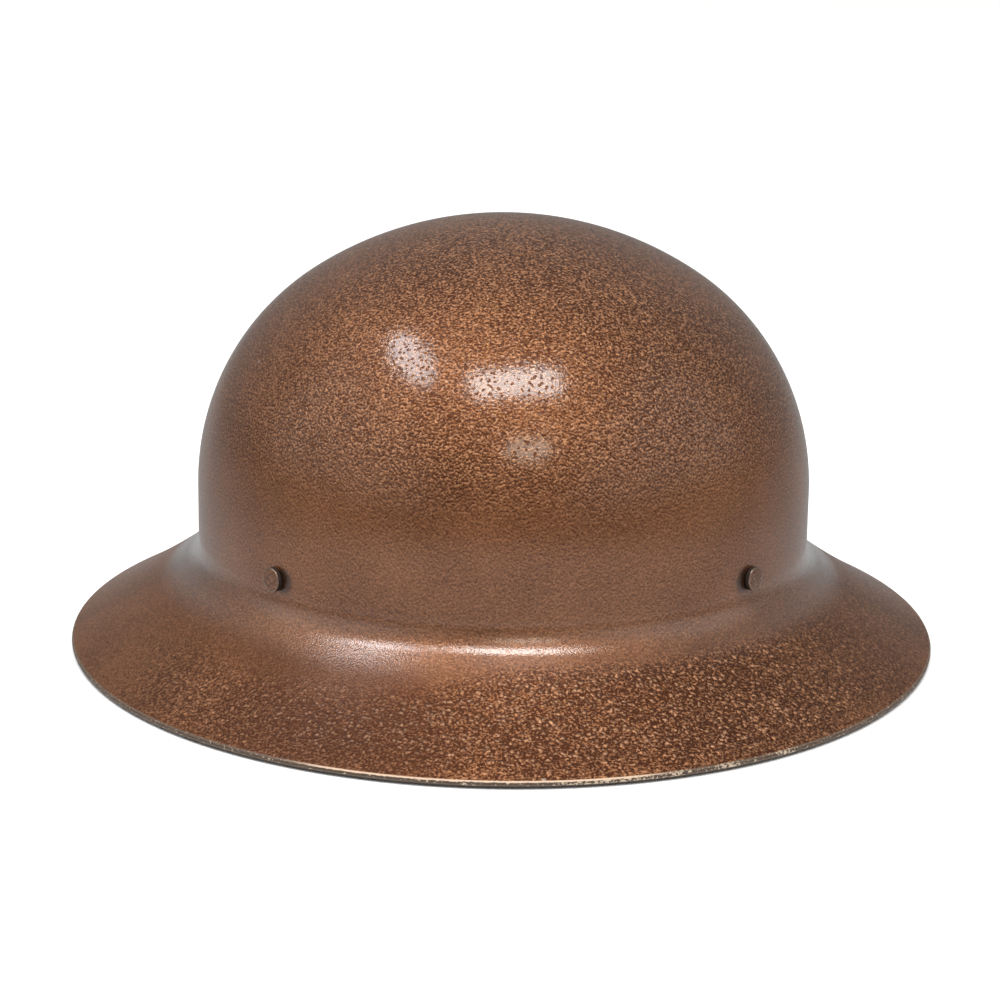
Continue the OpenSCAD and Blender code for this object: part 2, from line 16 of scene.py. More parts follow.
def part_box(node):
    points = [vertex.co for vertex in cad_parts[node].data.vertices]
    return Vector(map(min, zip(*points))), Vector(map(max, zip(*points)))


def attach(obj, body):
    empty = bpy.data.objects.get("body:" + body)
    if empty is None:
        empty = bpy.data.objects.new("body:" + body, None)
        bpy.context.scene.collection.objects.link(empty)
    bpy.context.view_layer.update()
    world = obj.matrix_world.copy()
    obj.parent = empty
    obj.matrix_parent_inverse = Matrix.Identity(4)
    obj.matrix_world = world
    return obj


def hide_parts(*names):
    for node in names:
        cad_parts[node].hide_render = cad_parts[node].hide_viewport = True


bl_info = {
    "name": "Civil defence helmet",
    "version": (1, 0, 0),
    "blender": (4, 5, 0),
    "location": "View3D > Sidebar > Helmet",
    "description": "Builds the painted shell and the head harness of a civil defence helmet",
    "category": "Object",
}

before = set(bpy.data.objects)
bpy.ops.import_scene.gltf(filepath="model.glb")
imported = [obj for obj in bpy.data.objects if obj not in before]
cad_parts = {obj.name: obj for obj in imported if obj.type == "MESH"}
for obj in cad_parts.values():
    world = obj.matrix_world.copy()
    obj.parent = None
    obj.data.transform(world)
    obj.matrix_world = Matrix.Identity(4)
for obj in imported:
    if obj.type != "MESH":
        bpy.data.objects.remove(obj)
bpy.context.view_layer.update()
MM = 0.001
UP = np.array([0.0, 0.0, 1.0])


def heights(node):
    """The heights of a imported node's foot and top, in millimetres."""
    low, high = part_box(node)
    return low.z / MM, high.z / MM


# The shell: radii and heights of its section, whose ovals are OVAL times as long as wide, and of its rivets
OVAL = 1.12
BRIM_HALF = (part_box("shell")[1].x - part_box("shell")[0].x) / 2 / MM
WALL_HALF = 106.2
WALL = (WALL_HALF, WALL_HALF * OVAL)
WALL_FOOT = 35.6026
DOME_R = 123
DOME_Z = 22
SHOULDER_R = 85.8
SHOULDER_Z = 53.1076
FLARE_R = 12.0
BRIM_R = 272.0
RIM_SLOPE = 27.0
SHEET = 1.2
LIP = BRIM_HALF - 3
RIVET_Z = 39.5226
RIVET_HOLE = 2.6
# The harness: half axes of its ovals, across and along, then heights, widths and thicknesses
HOOP_MID = (82.7, 103.7)
HOOP_FOOT, HOOP_TOP = heights("hoop")
HIDE = 1.8
BAND_IN = (77.5, 98.5)
BAND_MID = (BAND_IN[0] + HIDE / 2, BAND_IN[1] + HIDE / 2)
BAND_OUT = (BAND_IN[0] + HIDE, BAND_IN[1] + HIDE)
BAND_FOOT, BAND_TOP = heights("sweatband")
WEB_W = 18
WEB = 1.4
WEB_EDGE = 0.62
WEB_FACE = WEB / 2 + 0.02
SEWN_APART = 1.5
LACE_R = 1.6
LACE_Z = 111.0
LACE_RING = 32.0
NAPE_W = 16
NAPE_Z = 20.5226
# Directions in degrees from the front
SHELL_RIVETS = {
    "rivet_front_left": -43, "rivet_front_right": 49,
    "rivet_rear_right": 137, "rivet_rear_left": 229,
}
STRAPS = {
    "strap_front": 0, "strap_front_right": 62, "strap_rear_right": 118,
    "strap_rear": 180, "strap_rear_left": 242, "strap_front_left": 298,
}
HOOKS = (22, 77, 103, 158, 202, 257, 283, 338)
NAPE_RIVETS = (133, 227)


def size(name, text, default, low, high):
    """A length that a user may change, kept in metres and shown in millimetres."""
    return FloatProperty(name=name, description=text, default=default, min=low, max=high,
                         unit="LENGTH", precision=5)


def colour(name, text, default):
    return FloatVectorProperty(name=name, description=text, default=default, min=0, max=1,
                               size=3, subtype="COLOR")


def share(name, text, default):
    return FloatProperty(name=name, description=text, default=default, min=0, max=1, subtype="FACTOR")


def strength(name, text, default):
    return FloatProperty(name=name, description=text, default=default, min=0, max=5)


def slant(name, text, degrees):
    """An angle, kept in radians."""
    return FloatProperty(name=name, description=text, default=math.radians(degrees), subtype="ANGLE")


class PaintSettings(bpy.types.PropertyGroup):
    """Colours and sizes of the shell's hammered paint."""

    flake: colour("Flake", "Colour of the metal flake on the raised drops", (0.55, 0.235, 0.094))
    ground: colour("Ground", "Colour of the paint between the drops", (0.082, 0.021, 0.004))
    crest: colour("Crest", "Colour of the flake on the tops of the drops", (0.7, 0.43, 0.27))
    inside: colour("Inside", "Colour of the thinner paint inside the shell", (0.13, 0.062, 0.032))
    grain: size("Grain", "Distance between the small drops", 0.00078, 0.0005, 0.005)
    drop: size("Drop", "Distance between the large drops", 0.0021, 0.001, 0.008)
    relief: size("Relief", "Height of the drops", 0.00032, 0, 0.0005)
    gloss: share("Gloss roughness", "Roughness of the clear surface", 0.11)
    body: share("Flake roughness", "Roughness of the metal flake under it", 0.52)


class HarnessSettings(bpy.types.PropertyGroup):
    """Colours and sizes of the webbing, the leather and the lace."""

    webbing: colour("Webbing", "Colour of the cotton webbing", (0.37, 0.27, 0.15))
    thread: colour("Thread", "Colour of the sewing thread", (0.62, 0.55, 0.42))
    leather: colour("Leather", "Colour of the sweatband", (0.33, 0.155, 0.06))
    keeper: colour("Keeper leather", "Colour of the sliding keeper", (0.13, 0.05, 0.022))
    lace: colour("Lace", "Colour of the cotton lace", (0.66, 0.61, 0.49))
    warp: size("Warp", "Distance between the long threads of the webbing", 0.0011, 0.0004, 0.003)
    stitch: size("Stitch", "Length of one stitch", 0.0026, 0.001, 0.006)


class MetalSettings(bpy.types.PropertyGroup):
    """Colours of the bare metals."""

    spring: colour("Spring steel", "Colour of the hangers", (0.22, 0.215, 0.21))
    zinc: colour("Zinc", "Colour of plated steel", (0.56, 0.56, 0.54))
    aluminium: colour("Aluminium", "Colour of the hoop", (0.66, 0.66, 0.65))
    brass: colour("Brass", "Colour of the small rivets and hooks", (0.58, 0.38, 0.14))


class StageSettings(bpy.types.PropertyGroup):
    """The floor, the light and the camera."""

    distance: size("Distance", "From the camera to the middle of the helmet", 0.9, 0.3, 5)
    elevation: slant("Elevation", "Angle of the camera above level", 13.11)
    roll: slant("Roll", "Turn of the camera about its view", 0.8)
    lens: FloatProperty(name="Lens", description="Focal length in millimetres", default=92.6,
                        min=20, max=300)
    floor: colour("Floor", "Colour of the floor", (0.93, 0.93, 0.93))
    sky: strength("Sky", "Strength of the light from above", 1.15)
    horizon: strength("Horizon", "Strength of the light from the sides", 0.8)
    shine: strength("Shine", "Strength of the sky in reflections, overhead", 0.28)
    rim_shine: strength("Low shine", "Strength of the sky in reflections, at the horizon", 0.22)
    backdrop: strength("Backdrop", "Least strength of the sky behind the helmet", 1.15)
    wall_shine: strength("Wall shine", "Strength of the pale walls in reflections", 0.5)


# Shapes: functions of two parameters on a grid


def arc(centre, radius, start, end, count):
    """Points of an arc in (radius, height), from one angle to another in degrees."""
    a = np.radians(np.linspace(start, end, count))
    return np.stack([centre[0] + radius * np.cos(a), centre[1] + radius * np.sin(a)], -1)


def line(start, end, count):
    """Evenly spaced points from start to end."""
    t = np.linspace(0, 1, count)[:, None]
    return np.asarray(start) * (1 - t) + np.asarray(end) * t


def on_oval(angle, oval):
    """Points (across * sin(angle), -along * cos(angle)) of an oval."""
    return np.stack([oval[0] * np.sin(angle), -oval[1] * np.cos(angle)], -1)


def outward(angle, oval):
    """The oval's outward normals, (sin(angle) / across, -cos(angle) / along) made one long."""
    n = np.stack([np.sin(angle) / oval[0], -np.cos(angle) / oval[1]], -1)
    return n / np.linalg.norm(n, axis=-1, keepdims=True)


def raised(flat, z):
    """Points of a plan, put at the height z: one number, or one for each point."""
    return np.concatenate([flat, np.broadcast_to(z, flat.shape[:-1])[..., None]], -1)


def full_turn(count):
    """Angles once round, evenly spaced from 0, in radians."""
    return np.linspace(0, 2 * math.pi, count + 1)[:-1]


def unit(v):
    return v / np.maximum(np.linalg.norm(v, axis=-1, keepdims=True), 1e-12)


def lengths(path):
    """The length along a path up to each of its points."""
    steps = np.linalg.norm(np.diff(path, axis=0), axis=-1)
    return np.concatenate([[0], np.cumsum(steps)])


def sampled(values, s, at):
    """Rows of values that lie at the lengths s along a path, read at the lengths at."""
    return np.stack([np.interp(at, s, values[:, k]) for k in range(values.shape[1])], -1)


def even(path, step):
    """The path's points again, at equal distances of about step along it."""
    s = lengths(path)
    return sampled(path, s, np.linspace(0, s[-1], max(3, int(round(s[-1] / step)) + 1)))


def relaxed(path, step, reach):
    """An evenly spaced path whose corners are rounded: each point is the mean of its neighbours,
    taken over reach on both sides, with a window that narrows to nothing at the two ends."""
    path = even(path, step)
    count = int(round(reach / step))
    total = np.concatenate([np.zeros((1, path.shape[1])), np.cumsum(path, axis=0)])
    i = np.arange(len(path))
    w = np.minimum(np.minimum(i, len(path) - 1 - i), count)
    return (total[i + w + 1] - total[i - w]) / (2 * w + 1)[:, None]


def tangents(path, closed=False):
    """Directions along a path, from each point's two neighbours."""
    if closed:
        return unit(np.roll(path, -1, axis=0) - np.roll(path, 1, axis=0))
    return unit(np.gradient(path, axis=0))


def carried(path, side, up, section):
    """A section (a, b) carried along a path: each point is the path's point + a * side + b * up."""
    a = section[None, :, 0, None]
    b = section[None, :, 1, None]
    return path[:, None] + a * side[:, None] + b * up[:, None]


def strip_section(width, thick, soft, across=9):
    """A flat strip's outline with rounded corners of radius soft, going round once: (sideways, up)."""
    h, k = width / 2 - soft, thick / 2 - soft
    edge = 4
    outline = np.concatenate([
        line((h, k + soft), (-h, k + soft), across), arc((-h, k), soft, 90, 180, edge),
        arc((-h, -k), soft, 180, 270, edge), line((-h, -k - soft), (h, -k - soft), across),
        arc((h, -k), soft, 270, 360, edge), arc((h, k), soft, 0, 90, edge),
    ])
    apart = np.linalg.norm(outline - np.roll(outline, 1, axis=0), axis=-1) > 1e-6
    return outline[apart]


def round_section(radius, count):
    """A circle's outline, going round once."""
    return arc((0, 0), radius, 0, 360, count + 1)[:-1]


def sealed(path, side, up, section, soft):
    """A carried section whose two ends are closed: near an end the section draws in by soft to a rounded
    edge, and the last ring lies in the end's middle."""
    s = lengths(path)
    rings = carried(path, side, up, section)
    along = tangents(path)
    start, end = rings[:1], rings[-1:]
    middle = path[:, None]
    scale = 1 - soft / np.abs(section).max(0).min()
    cap_start = middle[:1] + (start - middle[:1]) * scale - along[:1, None] * soft
    cap_end = middle[-1:] + (end - middle[-1:]) * scale + along[-1:, None] * soft
    pole_start = np.repeat(middle[:1] - along[:1, None] * soft, len(section), 1)
    pole_end = np.repeat(middle[-1:] + along[-1:, None] * soft, len(section), 1)
    grid = np.concatenate([pole_start, cap_start, rings, cap_end, pole_end])
    s = np.concatenate([[s[0] - 2 * soft, s[0] - soft], s, [s[-1] + soft, s[-1] + 2 * soft]])
    return grid, s


def strip_uv(s, section):
    """A strip's UV map in metres: along its path, and across its width."""
    v = np.concatenate([section[:, 0], section[:1, 0]])
    u, v = np.meshgrid(s, v, indexing="ij")
    return np.stack([u, v], -1) * MM


def tube_uv(s, radius, count):
    """A tube's UV map in metres: along its path, and round its girth."""
    u, v = np.meshgrid(s, np.arange(count + 1) * 2 * math.pi * radius / count, indexing="ij")
    return np.stack([u, v], -1) * MM


def linked(name, data):
    """A new object in the scene."""
    thing = bpy.data.objects.new(name, data)
    bpy.context.scene.collection.objects.link(thing)
    return thing


def smoothed(mesh, sharp):
    """Shades a mesh smooth, apart from edges that turn by more than sharp degrees."""
    mesh.shade_smooth()
    if sharp is not None:
        mesh.set_sharp_from_angle(angle=math.radians(sharp))


class Skin:
    """Collects grids of points in millimetres and makes one closed mesh of them, in metres."""

    def __init__(self):
        self.points = []
        self.faces = []
        self.maps = []
        self.slots = []
        self.count = 0

    def grid(self, points, uv=None, rows_close=False, slot=0):
        """Adds a grid whose last column joins its first, and its last row too where rows_close says so. A
        UV grid has one more there."""
        rows, cols = points.shape[:2]
        a = np.arange(rows if rows_close else rows - 1)
        a, b = (g.ravel() for g in np.meshgrid(a, np.arange(cols), indexing="ij"))
        c, d = (a + 1) % rows, (b + 1) % cols
        corners = [a * cols + b, c * cols + b, c * cols + d, a * cols + d]
        self.faces.append(np.stack(corners, -1) + self.count)
        self.points.append(points.reshape(-1, 3))
        self.count += rows * cols
        if uv is None:
            uv = np.zeros((rows + rows_close, cols + 1, 2))
        self.maps.append(np.stack([uv[a, b], uv[a + 1, b], uv[a + 1, b + 1], uv[a, b + 1]], 1))
        self.slots.append(np.full(len(a), slot))

    def mesh(self, name):
        """The closed mesh: doubles are merged, and faces point outwards."""
        mesh = bpy.data.meshes.new(name)
        points = np.concatenate(self.points) * MM
        mesh.from_pydata(points.tolist(), [], np.concatenate(self.faces).tolist())
        layer = mesh.uv_layers.new(name="UVMap")
        layer.data.foreach_set("uv", np.concatenate(self.maps).astype(np.float32).ravel())
        mesh.polygons.foreach_set("material_index", np.concatenate(self.slots).astype(np.int32))
        shaped = bmesh.new()
        shaped.from_mesh(mesh)
        bmesh.ops.remove_doubles(shaped, verts=shaped.verts, dist=1e-7)
        bmesh.ops.recalc_face_normals(shaped, faces=shaped.faces)
        shaped.to_mesh(mesh)
        shaped.free()
        return mesh

    def piece(self, name, finishes, body="helmet", sharp=None, replaces=()):
        """The finished object, which rides on its body and may stand for nodes of the frame."""
        mesh = self.mesh(name)
        smoothed(mesh, sharp)
        thing = linked(name, mesh)
        for finish in finishes:
            mesh.materials.append(finish)
        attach(thing, body)
        if replaces:
            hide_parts(*replaces)
        return thing


def cut_holes(thing, holes, sharp):
    """Takes closed grids of points out of a piece, and shades it again."""
    skin = Skin()
    for points in holes:
        skin.grid(points)
    cutter = linked("cutter", skin.mesh("cutter"))
    modifier = thing.modifiers.new("cut", "BOOLEAN")
    modifier.object = cutter
    modifier.operation = "DIFFERENCE"
    modifier.solver = "EXACT"
    bpy.context.view_layer.update()
    shaped = thing.evaluated_get(bpy.context.evaluated_depsgraph_get())
    mesh = bpy.data.meshes.new_from_object(shaped)
    thing.modifiers.clear()
    old = thing.data
    waste = cutter.data
    thing.data = mesh
    mesh.name = old.name
    bpy.data.objects.remove(cutter)
    bpy.data.meshes.remove(waste)
    bpy.data.meshes.remove(old)
    smoothed(mesh, sharp)


def paint_values(mesh, name, values):
    """Keeps one number for each vertex, for a material to read."""
    layer = mesh.attributes.new(name, "FLOAT", "POINT")
    layer.data.foreach_set("value", np.asarray(values, np.float32))


def corner_points(mesh):
    """A mesh's vertices as an array, in millimetres."""
    points = np.zeros(len(mesh.vertices) * 3, np.float32)
    mesh.vertices.foreach_get("co", points)
    return points.reshape(-1, 3) / MM


def rise(low, high, x):
    """0 below low and 1 above high, with an S-shaped rise between them."""
    t = np.clip((x - low) / (high - low), 0, 1)
    return t * t * (3 - 2 * t)


# Finishes: node trees written as sums


class Value:
    """A socket of a finish, on which Python's arithmetic adds Math nodes."""

    def __init__(self, finish, socket):
        self.finish = finish
        self.socket = socket

    def math(self, operation, *others):
        return self.finish.add("ShaderNodeMath", {"operation": operation}, [self, *others])

    def __add__(self, other):
        return self.math("ADD", other)

    __radd__ = __add__

    def __mul__(self, other):
        return self.math("MULTIPLY", other)

    __rmul__ = __mul__

    def __sub__(self, other):
        return self.math("SUBTRACT", other)

    def __rsub__(self, other):
        return self.finish.add("ShaderNodeMath", {"operation": "SUBTRACT"}, [other, self])

    def __truediv__(self, other):
        return self.math("DIVIDE", other)

    def top(self, other):
        return self.math("MAXIMUM", other)

    def low(self, other):
        return self.math("MINIMUM", other)

    def rise(self, low, high, start=0.0, end=1.0):
        """From start below low to end above high, along an S-shaped curve. Low may be above high."""
        kind = {"interpolation_type": "SMOOTHSTEP"}
        return self.finish.add("ShaderNodeMapRange", kind, [self, low, high, start, end])


def opaque(colour):
    """A colour for a socket: a link as it is, or three numbers with a one behind them."""
    return colour if isinstance(colour, Value) else (*colour, 1)


class Finish:
    """The nodes of one material, or of the world."""

    def __init__(self, name, world=False):
        self.owner = bpy.data.worlds.new(name) if world else bpy.data.materials.new(name)
        self.owner.use_nodes = True
        self.tree = self.owner.node_tree
        self.tree.nodes.clear()
        kind = "ShaderNodeOutputWorld" if world else "ShaderNodeOutputMaterial"
        self.target = self.tree.nodes.new(kind)

    def add(self, kind, settings, sockets=(), output=0):
        """A node of a kind: its settings first, then the values or links of its sockets."""
        node = self.tree.nodes.new(kind)
        for key, value in settings.items():
            setattr(node, key, value)
        pairs = sockets.items() if isinstance(sockets, dict) else enumerate(sockets)
        for key, value in pairs:
            if isinstance(value, Value):
                self.tree.links.new(value.socket, node.inputs[key])
            else:
                node.inputs[key].default_value = value
        return Value(self, node.outputs[output])

    def place(self):
        """Object coordinates, in metres."""
        return self.add("ShaderNodeTexCoord", {}, output="Object")

    def parts(self, vector):
        """The three numbers of a vector."""
        first = self.add("ShaderNodeSeparateXYZ", {}, [vector])
        return [Value(self, socket) for socket in first.socket.node.outputs]

    def unrolled(self):
        """The two numbers of the UV map, in metres: along a strip or a cord, and across it."""
        return self.parts(self.add("ShaderNodeUVMap", {"uv_map": "UVMap"}))[:2]

    def stored(self, name):
        """A number kept on the mesh for each vertex."""
        return self.add("ShaderNodeAttribute", {"attribute_name": name}, output="Fac")

    def ray(self, kind):
        """1 for rays of a kind, such as Is Glossy Ray, and 0 for others."""
        return self.add("ShaderNodeLightPath", {}, output=kind)

    def vector(self, operation, first, second, output="Vector"):
        """A sum on two vectors, such as ADD. DISTANCE has the output Value."""
        return self.add("ShaderNodeVectorMath", {"operation": operation}, [first, second], output)

    def scaled(self, vector, by):
        """A vector whose three numbers are multiplied by three others."""
        return self.vector("MULTIPLY", vector, by)

    def moved(self, vector, by):
        return self.vector("ADD", vector, by)

    def astray(self, vector, pitch, reach):
        """A vector pushed about by cloudy noise whose lumps are pitch metres apart, by a part of reach."""
        sockets = {"Vector": vector, "Scale": 1 / pitch, "Detail": 1.0}
        push = self.add("ShaderNodeTexNoise", {}, sockets, output="Color")
        push = self.vector("SUBTRACT", push, (0.5, 0.5, 0.5))
        return self.moved(vector, self.scaled(push, (2 * reach, 2 * reach, 2 * reach)))

    def noise(self, vector, pitch, detail=2.0, rough=0.5):
        """Cloudy noise from 0 to 1, whose lumps are pitch metres apart."""
        sockets = {"Vector": vector, "Scale": 1 / pitch, "Detail": detail, "Roughness": rough}
        return self.add("ShaderNodeTexNoise", {}, sockets)

    def cells(self, vector, pitch):
        """Distance to the nearest of points pitch metres apart, as a share of pitch, and its chance
        number."""
        sockets = {"Vector": vector, "Scale": 1 / pitch}
        near = self.add("ShaderNodeTexVoronoi", {}, sockets, output="Distance")
        chance = Value(self, near.socket.node.outputs["Color"])
        return near, self.parts(chance)[0]

    def edges(self, vector, pitch):
        """Distance to the edge between cells pitch metres apart, as a share of pitch."""
        sockets = {"Vector": vector, "Scale": 1 / pitch}
        settings = {"feature": "DISTANCE_TO_EDGE"}
        return self.add("ShaderNodeTexVoronoi", settings, sockets, output="Distance")

    def mix(self, factor, first, second):
        """A colour between two, by a factor."""
        sockets = {0: factor, 6: opaque(first), 7: opaque(second)}
        return self.add("ShaderNodeMix", {"data_type": "RGBA"}, sockets, output=2)

    def bump(self, height, distance):
        """The normal over a relief: height is 0 to 1, and distance is what 1 stands for, in metres."""
        return self.add("ShaderNodeBump", {}, {"Height": height, "Distance": distance})

    def surface(self, base, roughness, normal=None, metallic=0.0, **constants):
        """A Principled surface: what varies is linked, and the constants are set on its own sockets."""
        sockets = {"Base Color": opaque(base), "Roughness": roughness, "Metallic": metallic}
        if normal is not None:
            sockets["Normal"] = normal
        for key, value in constants.items():
            sockets[key.replace("_", " ")] = value
        return self.add("ShaderNodeBsdfPrincipled", {}, sockets)

    def blend(self, factor, first, second):
        """Two surfaces mixed by a factor."""
        return self.add("ShaderNodeMixShader", {}, [factor, first, second])

    def done(self, surface):
        self.tree.links.new(surface.socket, self.target.inputs["Surface"])
        return self.owner


def shade(colour, k):
    """A colour made darker or lighter by the factor k."""
    return tuple(min(1.0, c * k) for c in colour)


# Marks on the paint: angle from the front in degrees, height and radius in millimetres
DARK_SPECKS = (
    (-68, 128, 0.7), (-69, 135, 0.6), (-64, 44, 0.8),
    (-66, 41.5, 0.7), (-50, 46, 0.7), (-47, 42, 0.6),
)
LIGHT_NICKS = ((-63, 102, 0.8), (5, 2.4, 0.9))
# Chipped lengths of the rim, in degrees from the front: start and end
CHIPPED_RIM = ((6.5, 18), (19.5, 22), (25.5, 28.5), (33.5, 36.5), (-4.2, -3))


def hammered_paint(name, settings, tint=1.0, marked=False):
    """Hammered paint: bright metal flake in a darker ground, under a clear surface that reflects by
    Fresnel's share. The small drops are lumps with painted light and shade: each is lighter on one side and
    darker on the other, up and down the surface. Pits lie among them, darkened as painted shade. The large
    ones are rounded cells in dark rings, with the same painted light and shade. The mesh says how strong
    each kind is."""
    f = Finish(name)
    spot = f.place()
    x, y, z = f.parts(spot)
    fine = f.stored("grain")
    coarse = f.stored("drops")
    cloud = f.noise(spot, 0.03, 1)
    dust = f.noise(spot, 0.0006, 2)
    bent = f.astray(spot, 0.0018, 0.0008)

    # Small drops, large drops, and pits
    field = f.noise(spot, settings.grain, 1)
    # Painted light and shade on the small drops: the field less its value a little lower down
    painted_shading_small = field - f.noise(f.moved(spot, (0, 0, -settings.grain * 0.55)), settings.grain, 1)
    small = field.rise(0.5, 0.72)
    far, luck = f.cells(bent, settings.drop)
    large = far.rise(0.44, 0.08)
    # Painted light and shade on the large drops, found the same way
    lower = f.moved(bent, (0, 0, -settings.drop * 0.25))
    slope = large - f.cells(lower, settings.drop)[0].rise(0.44, 0.08)
    halo = far.rise(0.32, 0.45) * far.rise(0.68, 0.5)
    pits, _ = f.cells(bent, settings.grain * 2.1)

    # The relief of the flake, and that of the clear surface over it
    normal = f.bump(fine * small * 0.4 + coarse * large * 1.3 + dust * 0.2, settings.relief)
    skin = coarse * large * 0.2 + fine * (small * 0.04 + pits.rise(0.15, 0.38) * 0.2)
    skin = skin + dust * fine.rise(0.3, 0.45, 0.26, 0.05)
    clear = f.bump(skin, settings.relief)

    # The flake's colour: painted light and shade on the drops, and painted shade that dims it at the left
    # front of the brim
    large = large * (0.5 + 0.5 * luck)
    tone = 0.34 + fine * (painted_shading_small * 2.3 + small * 0.35 - 0.1)
    tone = tone + coarse * (large * 0.46 + slope * 0.6 - halo * 0.22 - 0.09)
    # Painted shade: the flake's colour and its crests dimmed at the left front of the brim
    painted_shade_left = x.rise(0.0, -0.035) * x.rise(-0.1, -0.065) * z.rise(0.026, 0.02) * y.rise(0, -0.05)
    tone = (tone + (cloud - 0.5) * 0.35 + (dust - 0.5) * 0.9) * (1 - painted_shade_left * 0.6)
    base = f.mix(tone.top(0).low(1), shade(settings.ground, tint), shade(settings.flake, tint))
    crest = (coarse * large * 0.6).top(fine * small * 0.3) * (1 - painted_shade_left * 0.3)
    base = f.mix(crest.low(1), base, shade(settings.crest, tint))
    # Painted shade in the pits: their colour darkened towards the ground's
    hole = fine * pits.rise(0.38, 0.26)
    base = f.mix(hole * 0.45, base, shade(settings.ground, tint))
    if marked:
        base = with_marks(f, spot, base)
    flake = f.surface(base, settings.body, normal, 0.85)

    # The clear surface: thicker where the wall meets the brim, worn on the brim, and broken in the pits
    pool = z.rise(0.018, 0.026) * z.rise(0.037, 0.031)
    worn_brim = z.rise(0.025, 0.019)
    gloss = f.surface((0.92, 0.92, 0.92), settings.gloss + pool * 0.08 + worn_brim * 0.14, clear, 1.0)
    share_back = f.add("ShaderNodeFresnel", {}, {"IOR": 1.5, "Normal": clear}) * (1 + pool * 1.3)
    share_back = share_back * (1 - hole * 0.8) * (1 - worn_brim * 0.5)
    paint = f.blend(share_back, flake, gloss)
    if marked:
        # The rim: wear, a painted highlight along its top and painted shade on its lower face
        angle = x.math("ARCTAN2", y * (-1 / OVAL)) * (180 / math.pi)
        worn, cover = rim_wear_and_painted_light(f, spot, angle, z, dust)
        paint = f.blend(f.stored("rim") * cover, paint, f.surface(worn, 0.55))
    return f.done(paint)


def rim_wear_and_painted_light(f, spot, angle, z, dust):
    """The folded rim's colour, and how far it hides the paint: a pale line along its top, strongest along
    the front stretch, which is partly rubbed paint and partly a painted highlight; dark old paint with pale
    chips below that, its darkness partly painted shade; a dull line under the chips, and a dark foot of
    painted shade with some wear."""
    ragged = z + (f.noise(spot, 0.0013, 3) - 0.5) * 0.0005
    # The front stretch of the rim, where the pale line along the top, part wear and part painted highlight,
    # is strongest
    front_stretch = angle.rise(-27, -20) * angle.rise(23, 15)
    pale_line_and_highlight = ragged.rise(0.00172, 0.0019) * (0.3 + front_stretch * 0.7)
    flecks = f.noise(f.scaled(spot, (1, 1, 1.3)), 0.0009, 3, 0.6)
    worn = sum((angle.rise(a - 1, a + 0.7) * angle.rise(b + 1, b - 0.7) for a, b in CHIPPED_RIM), 0.0)
    chips = (flecks + worn * 0.11).rise(0.6, 0.65) * z.rise(0.0006, 0.001)
    dull = z.rise(0.0007, 0.0009) * z.rise(0.0012, 0.001)
    # Dark old paint, its darkness partly painted shade on the rim's lower face
    old = f.mix(dust.rise(0.35, 0.7), (0.05, 0.03, 0.018), (0.09, 0.055, 0.034))
    base = f.mix(dull * 0.6, old, (0.16, 0.125, 0.095))
    # The dark foot: painted shade under the rim, with some wear
    base = f.mix(z.rise(0.0007, 0.0004), base, (0.03, 0.024, 0.02))
    base = f.mix(chips, base, (0.46, 0.37, 0.27))
    # The pale line along the top: rubbed paint and a painted highlight
    base = f.mix(pale_line_and_highlight, base, f.mix(front_stretch, (0.2, 0.14, 0.1), (0.58, 0.42, 0.3)))
    return base, z.rise(0.0023, 0.0021)


def with_marks(f, spot, base):
    """The base colour with dark specks, pale nicks and a patch of painted shadow beside each shell rivet.
    The rivets are 88 and 92 degrees apart, so a quarter turn from one of them ends 2 degrees from the next."""
    # Painted shadow: a dark patch beside each rivet's head
    patches = [(degrees + 90, RIVET_Z, 5.5) for degrees in SHELL_RIVETS.values()]
    base = f.mix(round_marks(f, spot, (*DARK_SPECKS, *patches)) * 0.8, base, (0.03, 0.017, 0.012))
    return f.mix(round_marks(f, spot, LIGHT_NICKS) * 0.75, base, (0.5, 0.42, 0.34))


def round_marks(f, spot, marks):
    """1 in small round marks on the shell and 0 beyond them. A mark's place follows from its angle and
    height: the radius is where the outer section has that height."""
    profile = outer_section(200)
    ragged = (f.noise(spot, 0.0008, 2) - 0.5) * 0.0009
    mask = None
    for angle, height, radius in marks:
        reach = np.interp(-height, -profile[:, 1], profile[:, 0])
        turn = math.radians(angle)
        centre = (reach * math.sin(turn) * MM, -reach * OVAL * math.cos(turn) * MM, height * MM)
        away = f.vector("DISTANCE", spot, centre, "Value") + ragged
        mark = away.rise(radius * MM, radius * 0.5 * MM)
        mask = mark if mask is None else mask.top(mark)
    return mask


def inside_paint(settings):
    """The thinner, smoother coat inside the shell, with faint drops and handling scuffs."""
    f = Finish("inside_paint")
    spot = f.place()
    near, chance = f.cells(spot, settings.grain * 1.3)
    small = near.rise(0.6, 0.15) * chance
    cloud = f.noise(spot, 0.02, 4, 0.6)
    scuff = f.noise(f.scaled(spot, (1, 1, 5)), 0.01, 6, 0.7).rise(0.6, 0.75)
    height = small * 0.5 + f.noise(spot, 0.0007, 2) * 0.3
    base = f.mix(cloud.rise(0.3, 0.7) * 0.6 + small * 0.3, shade(settings.inside, 0.65), settings.inside)
    base = f.mix(scuff * 0.25, base, shade(settings.inside, 2.0))
    rough = 0.42 + scuff * 0.15
    return f.done(f.surface(base, rough, f.bump(height, settings.relief * 0.6), 0.6))


